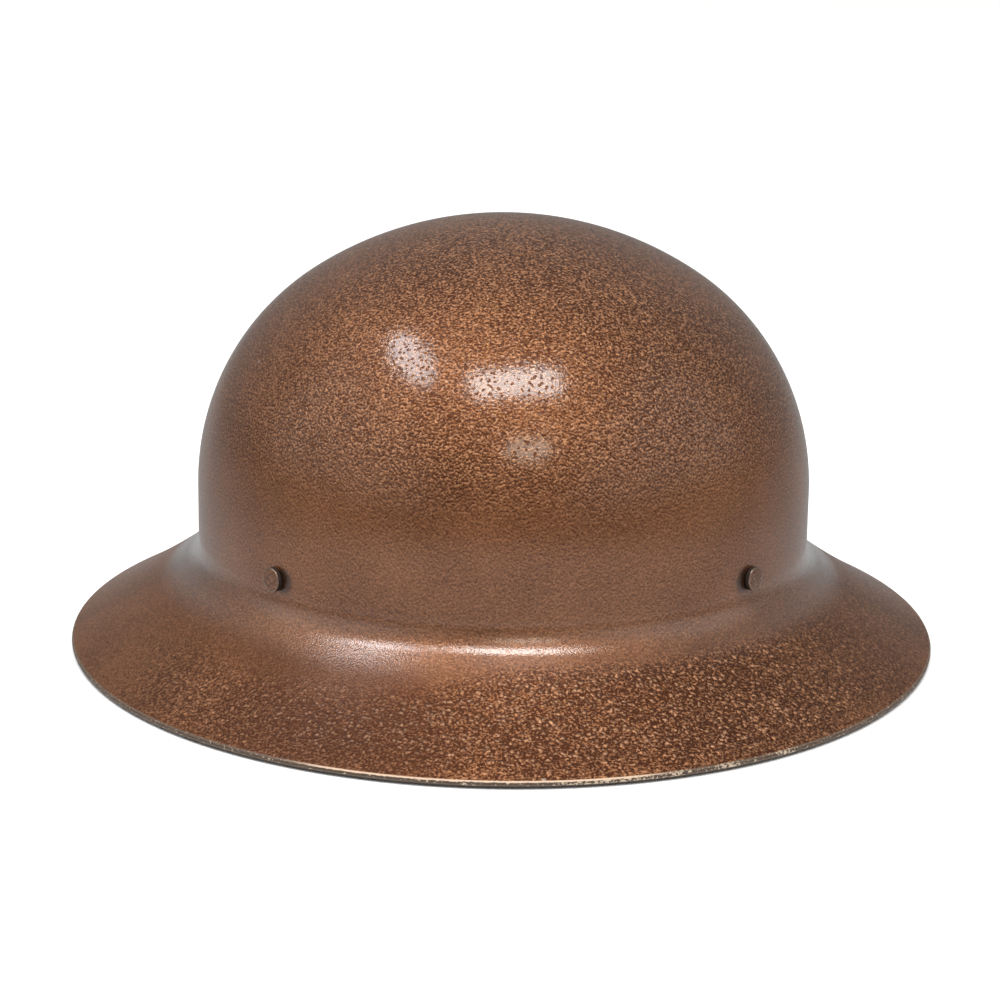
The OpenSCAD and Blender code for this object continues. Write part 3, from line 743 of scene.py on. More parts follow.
def leather(name, colour):
    """Leather: round pores between soft wrinkles, darker in the wrinkles and in cloudy patches."""
    f = Finish(name)
    spot = f.place()
    pores, _ = f.cells(spot, 0.0009)
    wrinkles = f.edges(f.scaled(spot, (1, 1, 0.6)), 0.0022)
    cloud = f.noise(spot, 0.018, 4, 0.6)
    streak = f.noise(f.scaled(spot, (1, 1, 0.25)), 0.004, 3)
    height = pores.rise(0.05, 0.45) * 0.4 + wrinkles.rise(0.0, 0.22) * 0.6
    tone = cloud.rise(0.25, 0.75) * 0.7 + streak * 0.3
    base = f.mix(tone, shade(colour, 0.55), shade(colour, 1.1))
    base = f.mix((1 - wrinkles.rise(0, 0.12)) * 0.35, base, shade(colour, 0.35))
    rough = 0.42 + cloud * 0.2
    return f.done(f.surface(base, rough, f.bump(height, 0.00012), 0.0, Specular_IOR_Level=0.45))


def webbing(settings):
    """Plain-woven cotton webbing on a map in metres: long threads of round section that pass over and under
    the cross threads by turns, with loose fibres and a little soiling."""
    f = Finish("cotton_webbing")
    u, v = f.unrolled()
    column = v / settings.warp
    row = u / (settings.warp * 1.5)
    odd = (column.math("FLOOR") + row.math("FLOOR")).math("PINGPONG", 1)
    a = column.math("FRACT") * 2 - 1
    b = row.math("FRACT") * 2 - 1
    long_thread = (1 - a * a) * (1 - b * b * 0.55)
    cross_thread = (1 - b * b) * (1 - a * a * 0.7) * 0.7
    weave = long_thread * odd + cross_thread * (1 - odd)
    spot = f.place()
    fibre = f.noise(spot, 0.0004, 3, 0.6)
    soil = f.noise(spot, 0.02, 4, 0.55)
    # Painted shade: the low parts of the weave, between the threads, darkened
    base = f.mix(weave.rise(0.05, 0.75), shade(settings.webbing, 0.45), settings.webbing)
    base = f.mix(soil.rise(0.45, 0.75) * 0.45, base, shade(settings.webbing, 0.55))
    base = f.mix((fibre - 0.35) * 0.6, base, shade(settings.webbing, 1.4))
    height = weave + fibre * 0.25
    return f.done(f.surface(base, 0.88, f.bump(height, 0.00022), 0.0, Specular_IOR_Level=0.25,
                            Sheen_Weight=0.25, Sheen_Roughness=0.5))


def braid(name, colour, girth, strands):
    """A braided cord on a map in metres: two sets of strands that cross along slanting lines."""
    f = Finish(name)
    u, v = f.unrolled()
    turn = v * (strands / girth)
    run = u / (girth * 0.42)
    one = (run + turn).math("FRACT") * 2 - 1
    two = (run - turn).math("FRACT") * 2 - 1
    left = 1 - one * one
    right = 1 - two * two
    weave = left.top(right)
    spot = f.place()
    fibre = f.noise(spot, 0.0004, 3, 0.6)
    soil = f.noise(spot, 0.012, 3)
    # Painted shade: the low parts of the braid, between the strands, darkened
    base = f.mix(weave.rise(0.25, 1.0), shade(colour, 0.5), colour)
    base = f.mix(soil.rise(0.4, 0.8) * 0.4, base, shade(colour, 0.6))
    return f.done(f.surface(base, 0.85, f.bump(weave + fibre * 0.3, 0.0002), 0.0,
                            Specular_IOR_Level=0.25, Sheen_Weight=0.2))


def thread(settings):
    """Waxed sewing thread, with faint fibres."""
    f = Finish("waxed_thread")
    spot = f.place()
    fibre = f.noise(spot, 0.0003, 3)
    base = f.mix(fibre, shade(settings.thread, 0.6), settings.thread)
    return f.done(f.surface(base, 0.6, f.bump(fibre, 0.00008), 0.0, Sheen_Weight=0.1))


def brushed_metal(name, colour, rough, brushing, stain, patina=0.35):
    """Bare metal: fine lines along the way it was rolled, a cloudy film, and stains in patches."""
    f = Finish(name)
    spot = f.place()
    lines = f.noise(f.scaled(spot, brushing), 0.0009, 3, 0.6)
    film = f.noise(spot, 0.009, 4, 0.6)
    specks = f.noise(spot, 0.0016, 4, 0.7).rise(0.58, 0.7)
    base = f.mix(lines, shade(colour, 0.82), shade(colour, 1.08))
    base = f.mix(film.rise(0.45, 0.75) * patina, base, stain)
    base = f.mix(specks * film.rise(0.4, 0.65) * 0.6, base, shade(stain, 0.5))
    roughness = rough + lines * 0.1 + film * 0.15 + specks * 0.1
    return f.done(f.surface(base, roughness, f.bump(lines + specks * 0.5, 0.00003), 1.0))


def painted_joint_shade(name):
    """Painted shade on the side of a rivet's head and in the joint under it: dark, dull and uneven."""
    f = Finish(name)
    mottle = f.noise(f.place(), 0.0007, 3, 0.6)
    base = f.mix(mottle, (0.01, 0.005, 0.003), (0.035, 0.018, 0.011))
    return f.done(f.surface(base, 0.75 + mottle * 0.15, f.bump(mottle, 0.0001), 0.0))


def spangled_zinc(name, colour):
    """Zinc plate: crystals that each reflect a little differently, under fine scratches."""
    f = Finish(name)
    spot = f.place()
    _, chance = f.cells(spot, 0.0028)
    scratch = f.noise(f.scaled(spot, (1, 1, 6)), 0.0015, 4, 0.6)
    bloom = f.noise(spot, 0.006, 4, 0.6).rise(0.5, 0.8)
    base = f.mix(chance * 0.5 + scratch * 0.3, shade(colour, 0.7), colour)
    base = f.mix(bloom * 0.4, base, (0.5, 0.5, 0.48))
    rough = 0.3 + chance * 0.12 + bloom * 0.2
    return f.done(f.surface(base, rough, f.bump(scratch, 0.00003), 1.0))


# The shell


def bearing(start, end):
    """The direction from one point to another, in degrees."""
    return math.degrees(math.atan2(end[1] - start[1], end[0] - start[0]))


def shell_circles():
    """The arcs of the shell's outer section and of the rim's nose, by centre in (radius, height) and
    radius, and the directions where the dome meets the shoulder and the flare meets the hollow brim."""
    nose = (BRIM_HALF - SHEET, SHEET)
    slope = math.radians(RIM_SLOPE)
    far = BRIM_R + SHEET
    circles = {
        "dome": ((0, DOME_Z), DOME_R),
        "shoulder": ((WALL_HALF - SHOULDER_R, SHOULDER_Z), SHOULDER_R),
        "flare": ((WALL_HALF + FLARE_R, WALL_FOOT), FLARE_R),
        "hollow": ((nose[0] + far * math.sin(slope), nose[1] + far * math.cos(slope)), BRIM_R),
        "nose": (nose, SHEET),
    }
    meet = bearing(circles["dome"][0], circles["shoulder"][0])
    turn = bearing(circles["hollow"][0], circles["flare"][0]) + 360
    return circles, meet, turn


def outer_section(count):
    """The outer section from the crown down to the rim: dome, shoulder, upright wall, flare, hollow brim.
    Each arc starts in the direction where the last one ended."""
    c, meet, turn = shell_circles()
    return np.concatenate([
        arc(*c["dome"], 90, meet, int(count * 0.28))[:-1],
        arc(*c["shoulder"], meet, 0, int(count * 0.27))[:-1],
        line((WALL_HALF, SHOULDER_Z), (WALL_HALF, WALL_FOOT), int(count * 0.05))[:-1],
        arc(*c["flare"], 180, turn, int(count * 0.16))[:-1],
        arc(*c["hollow"], turn, 270 - RIM_SLOPE, int(count * 0.24)),
    ])


def inner_section():
    """The inner section from the rim's fold up to the crown, a sheet's thickness inside the outer one."""
    c, meet, turn = shell_circles()
    centre, reach = c["hollow"][0], BRIM_R + SHEET
    start = 180 + math.degrees(math.acos((centre[0] - LIP) / reach))
    return np.concatenate([
        arc(centre, reach, start, turn, 40)[:-1],
        arc(c["flare"][0], FLARE_R + SHEET, turn, 180, 18)[:-1],
        line((WALL_HALF - SHEET, WALL_FOOT), (WALL_HALF - SHEET, SHOULDER_Z), 5)[:-1],
        arc(c["shoulder"][0], SHOULDER_R - SHEET, 0, meet, 30)[:-1],
        arc(c["dome"][0], DOME_R - SHEET, meet, 90, 26),
    ])


def rim_section():
    """The folded rim: over its round nose and in along its flat underside to the lip of the fold."""
    nose, radius = shell_circles()[0]["nose"]
    soft = 0.4
    return np.concatenate([
        arc(nose, radius, 90 - RIM_SLOPE, -90, 18)[1:-1],
        line((nose[0], 0), (LIP + soft, 0), 3)[:-1],
        arc((LIP + soft, soft), soft, -90, -180, 5),
        line((LIP, 0.7), (LIP, 1.6), 2),
    ])


def build_shell(paint, inside):
    """The pressed shell: its section, turned round the oval, with four rivet holes. A point of the section
    at (r, z) gives (r sin a, -1.12 r cos a, z) at the angle a."""
    outer = outer_section(210)
    rim = rim_section()
    section = np.concatenate([outer, rim, inner_section()])
    section[[0, -1], 0] = 0
    angle = np.linspace(0, 2 * math.pi, 265)
    flat = on_oval(angle[None, :-1], (section[:, :1], section[:, :1] * OVAL))
    points = raised(flat, section[:, 1:])
    along = lengths(section)
    u, v = np.meshgrid(along / along[-1], angle / (2 * math.pi), indexing="ij")
    uv = np.stack([v, u], -1)
    skin = Skin()
    last = len(outer) + len(rim) - 1
    skin.grid(points[:last + 1], uv[:last + 1], slot=0)
    skin.grid(points[last:], uv[last:], slot=1)
    shell = skin.piece("shell_pressing", [paint, inside], replaces=["shell"])
    hole = line((-8, RIVET_HOLE), (8, RIVET_HOLE), 2)
    cut_holes(shell, [turned(hole, a, RIVET_Z, WALL, 40) for a in SHELL_RIVETS.values()], 50)
    spread_drops(shell.data)


def spread_drops(mesh):
    """Keeps on the shell's vertices how strong the small and the large drops are, and where the rim is.
    Drops are strong on the dome and the brim towards the front and the back, and start later at the brim's
    left front."""
    spots = corner_points(mesh)
    r = np.hypot(spots[:, 0], spots[:, 1] / OVAL)
    side = spots[:, 0] / 106
    z = spots[:, 2]
    on_dome = rise(62, 92, z)
    late = rise(0.1, -0.45, side) * (spots[:, 1] < 0)
    on_brim = rise(112 + 7 * late, 120 + 14 * late, r) * (z < 40)
    edge = rise(149.5, 141, r)
    facing = 0.5 + 0.5 * rise(0.35, 0.95, abs(spots[:, 1]) / np.maximum(r * OVAL, 1)) + 0.12 * side
    paint_values(mesh, "grain", 0.24 + 0.76 * on_dome * facing + 0.5 * on_brim * facing ** 2.5)
    drops = on_dome * (0.08 + 0.25 * rise(-0.1, 0.7, side)) + 0.5 * rise(95, 125, z) * (facing - 0.5)
    drops = drops + on_brim * (0.35 + 0.65 * edge) * facing ** 2.5
    paint_values(mesh, "drops", drops)
    paint_values(mesh, "rim", rise(147.9, 148.5, r) * (z < 2.6))


def turned(profile, degrees, z, oval, count):
    """A profile (outwards, radius) turned about an oval's normal at an angle and a height, with its ends
    closed."""
    a = np.radians([degrees])
    origin = raised(on_oval(a, oval), z)[0]
    n = raised(outward(a, oval), 0)[0]
    side = np.array([-n[1], n[0], 0])
    t = np.radians(np.arange(count) * 360 / count)
    ring = np.cos(t)[:, None] * side + np.sin(t)[:, None] * UP
    profile = np.array([[profile[0][0], 0], *profile, [profile[-1][0], 0]], float)
    return origin + profile[:, :1, None] * n + profile[:, 1:, None] * ring


def inwards(start, way, oval):
    """How far it is from a point outside an oval back to the oval, against an outward direction."""
    q = np.asarray(oval) ** 2.0
    dd = (way * way / q).sum()
    pd = (start * way / q).sum()
    return (pd - math.sqrt(pd * pd - dd * ((start * start / q).sum() - 1))) / dd


def build_rivets(finishes):
    """Four shell rivets: a low domed head, its worn edge, its side and underside painted dark as shade, and
    a closed end inside, in one finish each. The head's foot is at low and its top at top, outwards from the
    wall."""
    low, top = 0.2067, 2.1067
    for node, degrees in SHELL_RIVETS.items():
        a = np.radians([degrees])
        inner = (WALL_HALF - SHEET, (WALL_HALF - SHEET) * OVAL)
        grip = inwards(on_oval(a, WALL)[0], outward(a, WALL)[0], inner) + 3.0
        head = np.concatenate([
            line((top, 0.02), (top - 0.05, 2.4), 4), line((top - 0.08, 2.9), (top - 0.16, 3.45), 3),
        ])
        edge = arc((top - 0.5, 3.62), 0.38, 45, 90, 5)
        side = np.concatenate([
            line((top - 0.7, 3.98), (low + 0.15, 3.9), 4), line((low, 3.7), (low, 2.45), 3),
        ])
        tail = np.concatenate([
            line((low - 0.1, 2.4), (-grip, 2.4), 4), line((-grip, 2.5), (-grip, 3.5), 3),
            line((-grip - 0.2, 3.7), (-grip - 0.9, 3.7), 3),
            arc((-grip - 0.9, 2.8), 0.9, 90, 180, 7)[1:], line((-grip - 1.75, 2.0), (-grip - 1.6, 0.02), 4),
        ])
        points = turned(np.concatenate([head, edge, side, tail]), degrees, RIVET_Z, WALL, 48)
        ends = 1 + np.cumsum([len(head), len(edge), len(side), len(tail) + 1])
        skin = Skin()
        start = 0
        for slot, end in enumerate(ends):
            skin.grid(points[start:end], slot=slot)
            start = end - 1
        piece = skin.piece(node.replace("rivet", "shell_rivet"), finishes, sharp=40, replaces=[node])
        for name, value in (("grain", 0.45), ("drops", 0.15)):
            paint_values(piece.data, name, np.full(len(piece.data.vertices), value))


# The harness


def rounded_stitches(skin, centres, along, up, length, slot):
    """Stitches as small capsules: one grid, placed by each stitch's centre and its own three axes."""
    t = np.linspace(0, math.pi, 6)[:, None]
    k = full_turn(6)[None]
    thick = 0.28
    run = -np.cos(t) * length / 2 + 0 * k
    wide = np.sin(t) ** 0.5 * thick * np.cos(k)
    high = np.sin(t) ** 0.5 * thick * np.sin(k)
    side = unit(np.cross(up, along))
    axes = np.stack([along, side, up], 1)
    capsule = np.stack([run, wide, high], -1)
    points = centres[:, None, None] + np.einsum("rck,nkx->nrcx", capsule, axes)
    for grid in points:
        skin.grid(grid, slot=slot)


def stitch_row(path, up, sideways, start, end, pitch):
    """Centres, directions, normals and sideways vectors of stitches along part of a path."""
    s = lengths(path)
    count = max(1, int((end - start) / pitch))
    at = start + (np.arange(count) + 0.5) * (end - start) / count
    spots, ways, ups, sides = (sampled(values, s, at) for values in (path, tangents(path), up, sideways))
    return spots, unit(ways), unit(ups), sides


def upright_strip(oval, foot, top, thick, soft, across, off):
    """A skin of an upright strip that goes once round an oval. Off has a number for each of its rings: how
    far the ring is moved outwards."""
    angle = full_turn(len(off))
    out = raised(outward(angle, oval), 0)
    path = raised(on_oval(angle, oval), (foot + top) / 2) + out * off[:, None]
    skin = Skin()
    section = strip_section(top - foot, thick, soft, across)
    skin.grid(carried(path, UP[None], out, section), rows_close=True)
    return skin


def build_hoop(metal):
    """The aluminium hoop: a flat strip with eased edges."""
    skin = upright_strip(HOOP_MID, HOOP_FOOT, HOOP_TOP, 0.8, 0.25, 5, np.zeros(240))
    skin.piece("hoop_strip", [metal], sharp=60, replaces=["hoop"])


def wave(angle):
    """How far the sweatband's leather waves out of its oval."""
    return 0.12 * np.sin(7 * angle) + 0.08 * np.sin(13 * angle + 1)


def build_sweatband(hide, thread_finish):
    """The leather sweatband: a strip with soft edges, a slit at the back and the holes of its rivets."""
    skin = upright_strip(BAND_MID, BAND_FOOT, BAND_TOP, HIDE, 0.6, 15, wave(full_turn(360)))
    band = skin.piece("sweatband_leather", [hide, thread_finish], replaces=["sweatband"])
    half, high = 6, 18
    slit = np.concatenate([line((-half, BAND_FOOT - 6), (half, BAND_FOOT - 6), 2)[:-1],
                           arc((0, BAND_FOOT + high), half, 0, 180, 24)])
    depths = (88.0, 108.0)
    rings = np.stack([np.stack([slit[:, 0], np.full(len(slit), y), slit[:, 1]], -1) for y in depths])
    ends = rings.mean(1, keepdims=True).repeat(len(slit), 1)
    holes = [np.concatenate([ends[:1], rings, ends[1:]])]
    for a, z in [(a, HOOP_FOOT - 3.5) for a in HOOKS] + [(a, NAPE_Z) for a in NAPE_RIVETS]:
        holes.append(turned(line((-4, 1.5), (4, 1.5), 2), a, z, BAND_MID, 20))
    cut_holes(band, holes, 50)


def sew_sweatband(thread_finish, length):
    """Stitches along both edges of the sweatband, inside and outside, left out at the slit. A row has as
    many as there are pitches in 553 mm, a little less than its girth."""
    skin = Skin()
    for z in (BAND_FOOT + 2.6, BAND_TOP - 2.4):
        for face in (-1, 1):
            turn = full_turn(int(553.0 / (length * 1.5)))
            turn = turn[(z > BAND_FOOT + 25) | (np.abs(turn - math.pi) > 0.085)]
            n = raised(outward(turn, BAND_MID), 0)
            spots = raised(on_oval(turn, BAND_MID), z) + n * (wave(turn)[:, None] + face * 0.88)
            way = np.stack([-n[:, 1], n[:, 0], 0 * turn], -1)
            rounded_stitches(skin, spots, way, n * face, length, 0)
    skin.piece("sweatband_stitching", [thread_finish])


def strap_route(reach):
    """A crown strap's middle line in (distance from the crown's axis, height). From its sewn tip it lies on
    the outside of the run, goes down outside the hoop, round its foot and up inside, and on as a quarter of
    an ellipse to the lace. There it goes over, round and back under itself to its other sewn tip."""
    outer, inner = reach + 1.4, reach - 2.0
    far, foot = (outer + inner) / 2, HOOP_TOP + 1.3
    high = (LACE_Z - foot) / math.sqrt(1 - (LACE_RING / far) ** 2)
    last = math.acos(LACE_RING / far)

    def run(t, off=0.0):
        """Points of the ellipse at the angles t, moved out along its normal by off."""
        spot = np.stack([far * np.cos(t), foot + high * np.sin(t)], -1)
        n = unit(np.stack([np.cos(t) / far, np.sin(t) / high], -1))
        return spot + off * n

    tip = run(np.linspace(0.245, 0.03, 14), SEWN_APART)
    outside = line((outer, HOOP_TOP), (outer, HOOP_FOOT), 12)
    under = arc((far, HOOP_FOOT), (outer - inner) / 2, 0, -180, 12)
    inside = line((inner, HOOP_FOOT), (inner, HOOP_TOP - 0.5), 12)
    climb = run(np.linspace(0.1, last - 0.16, 60))
    eye = np.array([LACE_RING, LACE_Z])
    n = unit(np.array([np.cos(last) / far, np.sin(last) / high]))
    way = np.array([-n[1], n[0]])
    turn = bearing((0, 0), n)
    bend, straight = 2.6, 3.5
    over = line(eye + bend * n - straight * way, eye + bend * n, 4)
    round_lace = arc(eye, bend, turn, turn + 180, 12)
    back = np.concatenate([line(eye - bend * n, eye - 2.2 * n - straight * way, 4),
                           run(np.linspace(last - 0.2, last - 0.38, 10), -SEWN_APART)])
    return np.concatenate([tip, outside, under, inside, climb, over, round_lace, back])


def build_strap(node, degrees, cotton, thread_finish, length):
    """One crown strap: flat webbing carried along its route, whose corners are eased. It faces along the
    hoop's normal at the hoop and turns towards the crown's middle as it rises."""
    a = np.radians([degrees])
    post = on_oval(a, HOOP_MID)[0]
    reach = float(np.linalg.norm(post))
    flat = relaxed(strap_route(reach), 0.4, 1.0)
    centre_way = math.atan2(post[1], post[0])
    n = outward(a, HOOP_MID)[0]
    twist = math.remainder(math.atan2(n[1], n[0]) - centre_way, 2 * math.pi)
    angle = centre_way + twist * (1 - rise(HOOP_TOP + 1, HOOP_TOP + 16, flat[:, 1]))
    out = np.stack([np.cos(angle), np.sin(angle), 0 * angle], -1)
    side = np.stack([-np.sin(angle), np.cos(angle), 0 * angle], -1)
    path = raised(np.broadcast_to(post, (len(flat), 2)), flat[:, 1]) + out * (flat[:, :1] - reach)
    up = unit(np.cross(tangents(path), side))
    section = strip_section(WEB_W, WEB, WEB_EDGE)
    points, s = sealed(path, side, up, section, 0.3)
    skin = Skin()
    skin.grid(points, strip_uv(s, section))
    total = lengths(path)[-1]
    for start, end, free in ((1.5, 9.5, 1), (total - 10.5, total - 2.0, -1)):
        for face in (free * WEB_FACE, -free * (SEWN_APART + 0.75)):
            for across in (-7.2, 7.2):
                sew_along(skin, path, up, side, start, end, across, face, length)
            for where in (start + 0.4, end - 0.4):
                sew_across(skin, path, up, side, where, face, length)
    skin.piece(node + "_webbing", [cotton, thread_finish], sharp=60, replaces=[node])


def sew_along(skin, path, up, side, start, end, across, face, length):
    """A row of stitches along part of a strap, so far across it and so far from its middle layer."""
    spots, ways, ups, sides = stitch_row(path, up, side, start, end, length * 1.2)
    rounded_stitches(skin, spots + sides * across + ups * face, ways, ups, length, 1)


def sew_across(skin, path, up, side, where, face, length):
    """Five stitches across a strap, so far from its middle layer."""
    spots, _, ups, sides = stitch_row(path, up, side, where - 0.5, where + 0.5, 1.0)
    ups, sides = np.repeat(ups[:1], 5, 0), np.repeat(sides[:1], 5, 0)
    spots = spots[:1] + sides * np.linspace(-6, 6, 5)[:, None] + ups * face
    rounded_stitches(skin, spots, sides, ups, length, 1)


def strap_turns():
    """The crown straps' directions from the middle of the crown, in radians, growing."""
    spots = on_oval(np.radians(list(STRAPS.values())), HOOP_MID)
    return np.sort(np.arctan2(spots[:, 1], spots[:, 0]))


def lace_bend(start, end):
    """The lace's arc between the loops of two straps: its centre and radius, and the first loop's direction
    and the direction across it."""
    way = np.array([math.cos(start), math.sin(start)])
    across = np.array([-way[1], way[0]])
    bend = LACE_RING - WEB_W / 2 / math.tan((end - start) / 2)
    return (LACE_RING - bend) * way + WEB_W / 2 * across, bend, way, across


def lace_route():
    """The lace's middle line: straight through each strap's loop, and round an arc between two loops."""
    turns = strap_turns()
    parts = []
    for start, end in zip(turns, [*turns[1:], turns[0] + 2 * math.pi]):
        centre, bend, way, across = lace_bend(start, end)
        middle, half = LACE_RING * way, WEB_W / 2 * across
        t = np.linspace(start, end, 16)[:-1]
        parts.append(line(middle - half, middle + half, 12)[:-1])
        parts.append(centre + bend * np.stack([np.cos(t), np.sin(t)], -1))
    return raised(np.concatenate(parts), LACE_Z)


def tube(skin, path, radius, sides, closed=False, slot=0):
    """A round cord along a path: a circle in each point's own plane. The plane's first axis is made square
    to the path from a fixed upright, which no cord here follows."""
    t = tangents(path, closed)
    side = unit(np.cross(t, (0.12, 0.2, 1.0)))
    up = np.cross(side, t)
    section = round_section(radius, sides)
    if closed:
        points = carried(path, side, up, section)
        s = lengths(np.concatenate([path, path[:1]]))
    else:
        points, s = sealed(path, side, up, section, radius * 0.45)
    skin.grid(points, tube_uv(s, radius, sides), rows_close=closed, slot=slot)


def build_lace(cord_finish, thread_finish):
    """The crown lace: a braided cord through the six loops, an overhand knot, and two whipped ends. The
    knot is a three-lobed loop, (sin t + 2 sin 2t, cos t - 2 cos 2t, -sin 3t)."""
    skin = Skin()
    tube(skin, even(lace_route(), 0.8), LACE_R, 16, closed=True)
    start, end = strap_turns()[2:4]
    centre, bend, _, _ = lace_bend(start, end)
    middle = (start + end) / 2
    out = np.array([math.cos(middle), math.sin(middle), 0])
    side = np.array([-out[1], out[0], 0])
    knot = (np.linalg.norm(centre) + bend) * out + LACE_Z * UP
    t = full_turn(120)[:, None]
    loop = (np.sin(t) + 2 * np.sin(2 * t)) * side + (np.cos(t) - 2 * np.cos(2 * t)) * UP
    tube(skin, knot + 0.98 * loop - np.sin(3 * t) * 1.2 * out, 1.5, 14, closed=True)
    dip = math.radians(35)
    for lean in (40, -40):
        turn = middle + math.pi + math.radians(lean)
        heading = np.array([math.cos(turn), math.sin(turn), 0]) * math.cos(dip) - UP * math.sin(dip)
        w = np.linspace(0, 1, 30)[:, None]
        path = knot + heading * 15.6 * w + 0.9 * UP * np.sin(math.pi * w)
        tube(skin, path, 1.55, 14)
        tube(skin, path[24:27], 1.72, 14, slot=1)
    skin.piece("crown_lace_cord", [cord_finish, thread_finish], replaces=["crown_lace"])


def nape_route(start, end, climbs):
    """A nape strap's middle line and normals, by the angle in degrees. Its gap to the leather grows from
    0.3 to 2.4 mm over 16 degrees, and the right strap climbs 2.4 mm more behind the cam, over 5.5."""
    a = np.linspace(start, end, int(abs(end - start) * 3) + 1)
    gap = 0.3 + 2.1 * rise(8, 24, 50 - np.abs(a - 180))
    if climbs:
        gap = gap + 2.4 * rise(-1.5, 4, a - 180)
    t = np.radians(a)
    n = raised(outward(t, BAND_OUT), 0)
    return raised(on_oval(t, BAND_OUT), NAPE_Z) + n * (gap + WEB / 2)[:, None], n


def build_nape_strap(node, start, end, climbs, cotton, thread_finish, length):
    """One length of the nape strap: flat webbing round the back of the leather, sewn at its tip."""
    path, out = nape_route(start, end, climbs)
    up = np.tile(UP, (len(path), 1))
    section = strip_section(NAPE_W, WEB, WEB_EDGE)
    points, s = sealed(path, up, out, section, 0.3)
    skin = Skin()
    skin.grid(points, strip_uv(s, section))
    total = lengths(path)[-1]
    for where in ((total - 2.5, total - 5.5) if climbs else (1.6,)):
        for face in (-WEB_FACE, WEB_FACE):
            sew_across(skin, path, out, up, where, face, length)
    skin.piece(node + "_webbing", [cotton, thread_finish], sharp=60, replaces=[node])


def build_keeper(hide, thread_finish):
    """The sliding keeper: a leather strip that goes once round the two webbings as a rounded rectangle,
    bent with the back of the head. Away is how far it is from the back's middle, along the strap."""
    thick, soft, away = 0.9, 1.1, 19.5
    curve = BAND_OUT[0] ** 2 / BAND_OUT[1]
    middle = BAND_OUT[1] - curve
    inner, outer = 2.4 - thick / 2, 4.8 + WEB + thick / 2
    cx = (inner + outer) / 2
    hx, hz = (outer - inner) / 2 + thick / 2 - soft, NAPE_W / 2 + thick - soft
    corners = ((hx, hz), (-hx, hz), (-hx, -hz), (hx, -hz))
    loop = np.concatenate([arc(corner, soft, 90 * k, 90 * k + 90, 7) for k, corner in enumerate(corners)])
    loop = even(np.concatenate([loop, loop[:1]]), 0.5)[:-1]
    t = tangents(loop, True)
    normal = np.stack([t[:, 1], -t[:, 0]], -1)
    section = strip_section(8, thick, 0.4, 7)
    x = cx + loop[:, None, 0] + normal[:, None, 0] * section[None, :, 1]
    z = loop[:, None, 1] + normal[:, None, 1] * section[None, :, 1]
    turn = (away + 0 * x + section[None, :, 0]) / (curve + 2.4)
    points = np.stack([-(curve + x) * np.sin(turn), middle + (curve + x) * np.cos(turn), NAPE_Z + z], -1)
    skin = Skin()
    skin.grid(points, rows_close=True)
    skin.piece("keeper_loop", [hide, thread_finish], body="strap_keeper", sharp=60, replaces=["keeper"])


# Operators


class HELMET_OT_shell(bpy.types.Operator):
    """Build the pressed shell in hammered paint"""

    bl_idname = "helmet.shell"
    bl_label = "Shell"

    def execute(self, context):
        settings = context.scene.helmet_paint
        build_shell(hammered_paint("hammered_copper_paint", settings, marked=True), inside_paint(settings))
        return {"FINISHED"}


class HELMET_OT_rivets(bpy.types.Operator):
    """Build the four shell rivets"""

    bl_idname = "helmet.rivets"
    bl_label = "Shell rivets"

    def execute(self, context):
        settings = context.scene.helmet_paint
        steel = spangled_zinc("rivet_steel", context.scene.helmet_metal.zinc)
        worn = brushed_metal("rivet_worn_edge", (0.34, 0.24, 0.19), 0.25, (1, 1, 1), (0.16, 0.1, 0.07), 0.5)
        head = hammered_paint("rivet_head_paint", settings, tint=0.78)
        # The head's side and the joint under it get a dark finish of painted shade
        build_rivets([head, worn, painted_joint_shade("rivet_painted_shade"), steel])
        return {"FINISHED"}


class HELMET_OT_harness(bpy.types.Operator):
    """Build the sweatband, the crown straps, the lace and the nape strap"""

    bl_idname = "helmet.harness"
    bl_label = "Head harness"

    def execute(self, context):
        settings = context.scene.helmet_harness
        sewing = thread(settings)
        cotton = webbing(settings)
        stitch = settings.stitch / MM
        build_sweatband(leather("tan_leather", settings.leather), sewing)
        sew_sweatband(sewing, stitch)
        for node, degrees in STRAPS.items():
            build_strap(node, degrees, cotton, sewing, stitch)
        build_lace(braid("braided_lace", settings.lace, 2 * math.pi * LACE_R, 4), sewing)
        build_nape_strap("nape_strap_right", 130, 210, True, cotton, sewing, stitch)
        build_nape_strap("nape_strap_left", 184.5, 230, False, cotton, sewing, stitch)
        build_keeper(leather("keeper_leather", settings.keeper), sewing)
        return {"FINISHED"}


class HELMET_OT_metalwork(bpy.types.Operator):
    """Finish the bare metal pieces, and build the hoop"""

    bl_idname = "helmet.metalwork"
    bl_label = "Metalwork"

    def execute(self, context):
        settings = context.scene.helmet_metal
        film = (0.4, 0.4, 0.39)
        spring = brushed_metal("spring_steel", settings.spring, 0.34, (1, 1, 0.15), (0.16, 0.075, 0.035))
        zinc = spangled_zinc("zinc_plate", settings.zinc)
        brass = brushed_metal("brass", settings.brass, 0.3, (1, 1, 1), (0.2, 0.13, 0.05))
        aluminium = brushed_metal("hoop_aluminium", settings.aluminium, 0.32, (0.08, 0.08, 1), film)
        finishes = {
            spring: ["hanger_front_left", "hanger_front_right", "hanger_rear_left", "hanger_rear_right"],
            zinc: ["rivet_washers", "ring_tab_left", "ring_tab_right", "chin_ring_left", "chin_ring_right",
                   "buckle_plate", "cam_lever", "cam_pin"],
            brass: ["hoop_rivets", "hook_rivets", "sweatband_hooks", "nape_rivets", "buckle_rivets"],
        }
        for finish, nodes in finishes.items():
            for node in nodes:
                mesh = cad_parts[node].data
                mesh.materials.clear()
                mesh.materials.append(finish)
        build_hoop(aluminium)
        return {"FINISHED"}


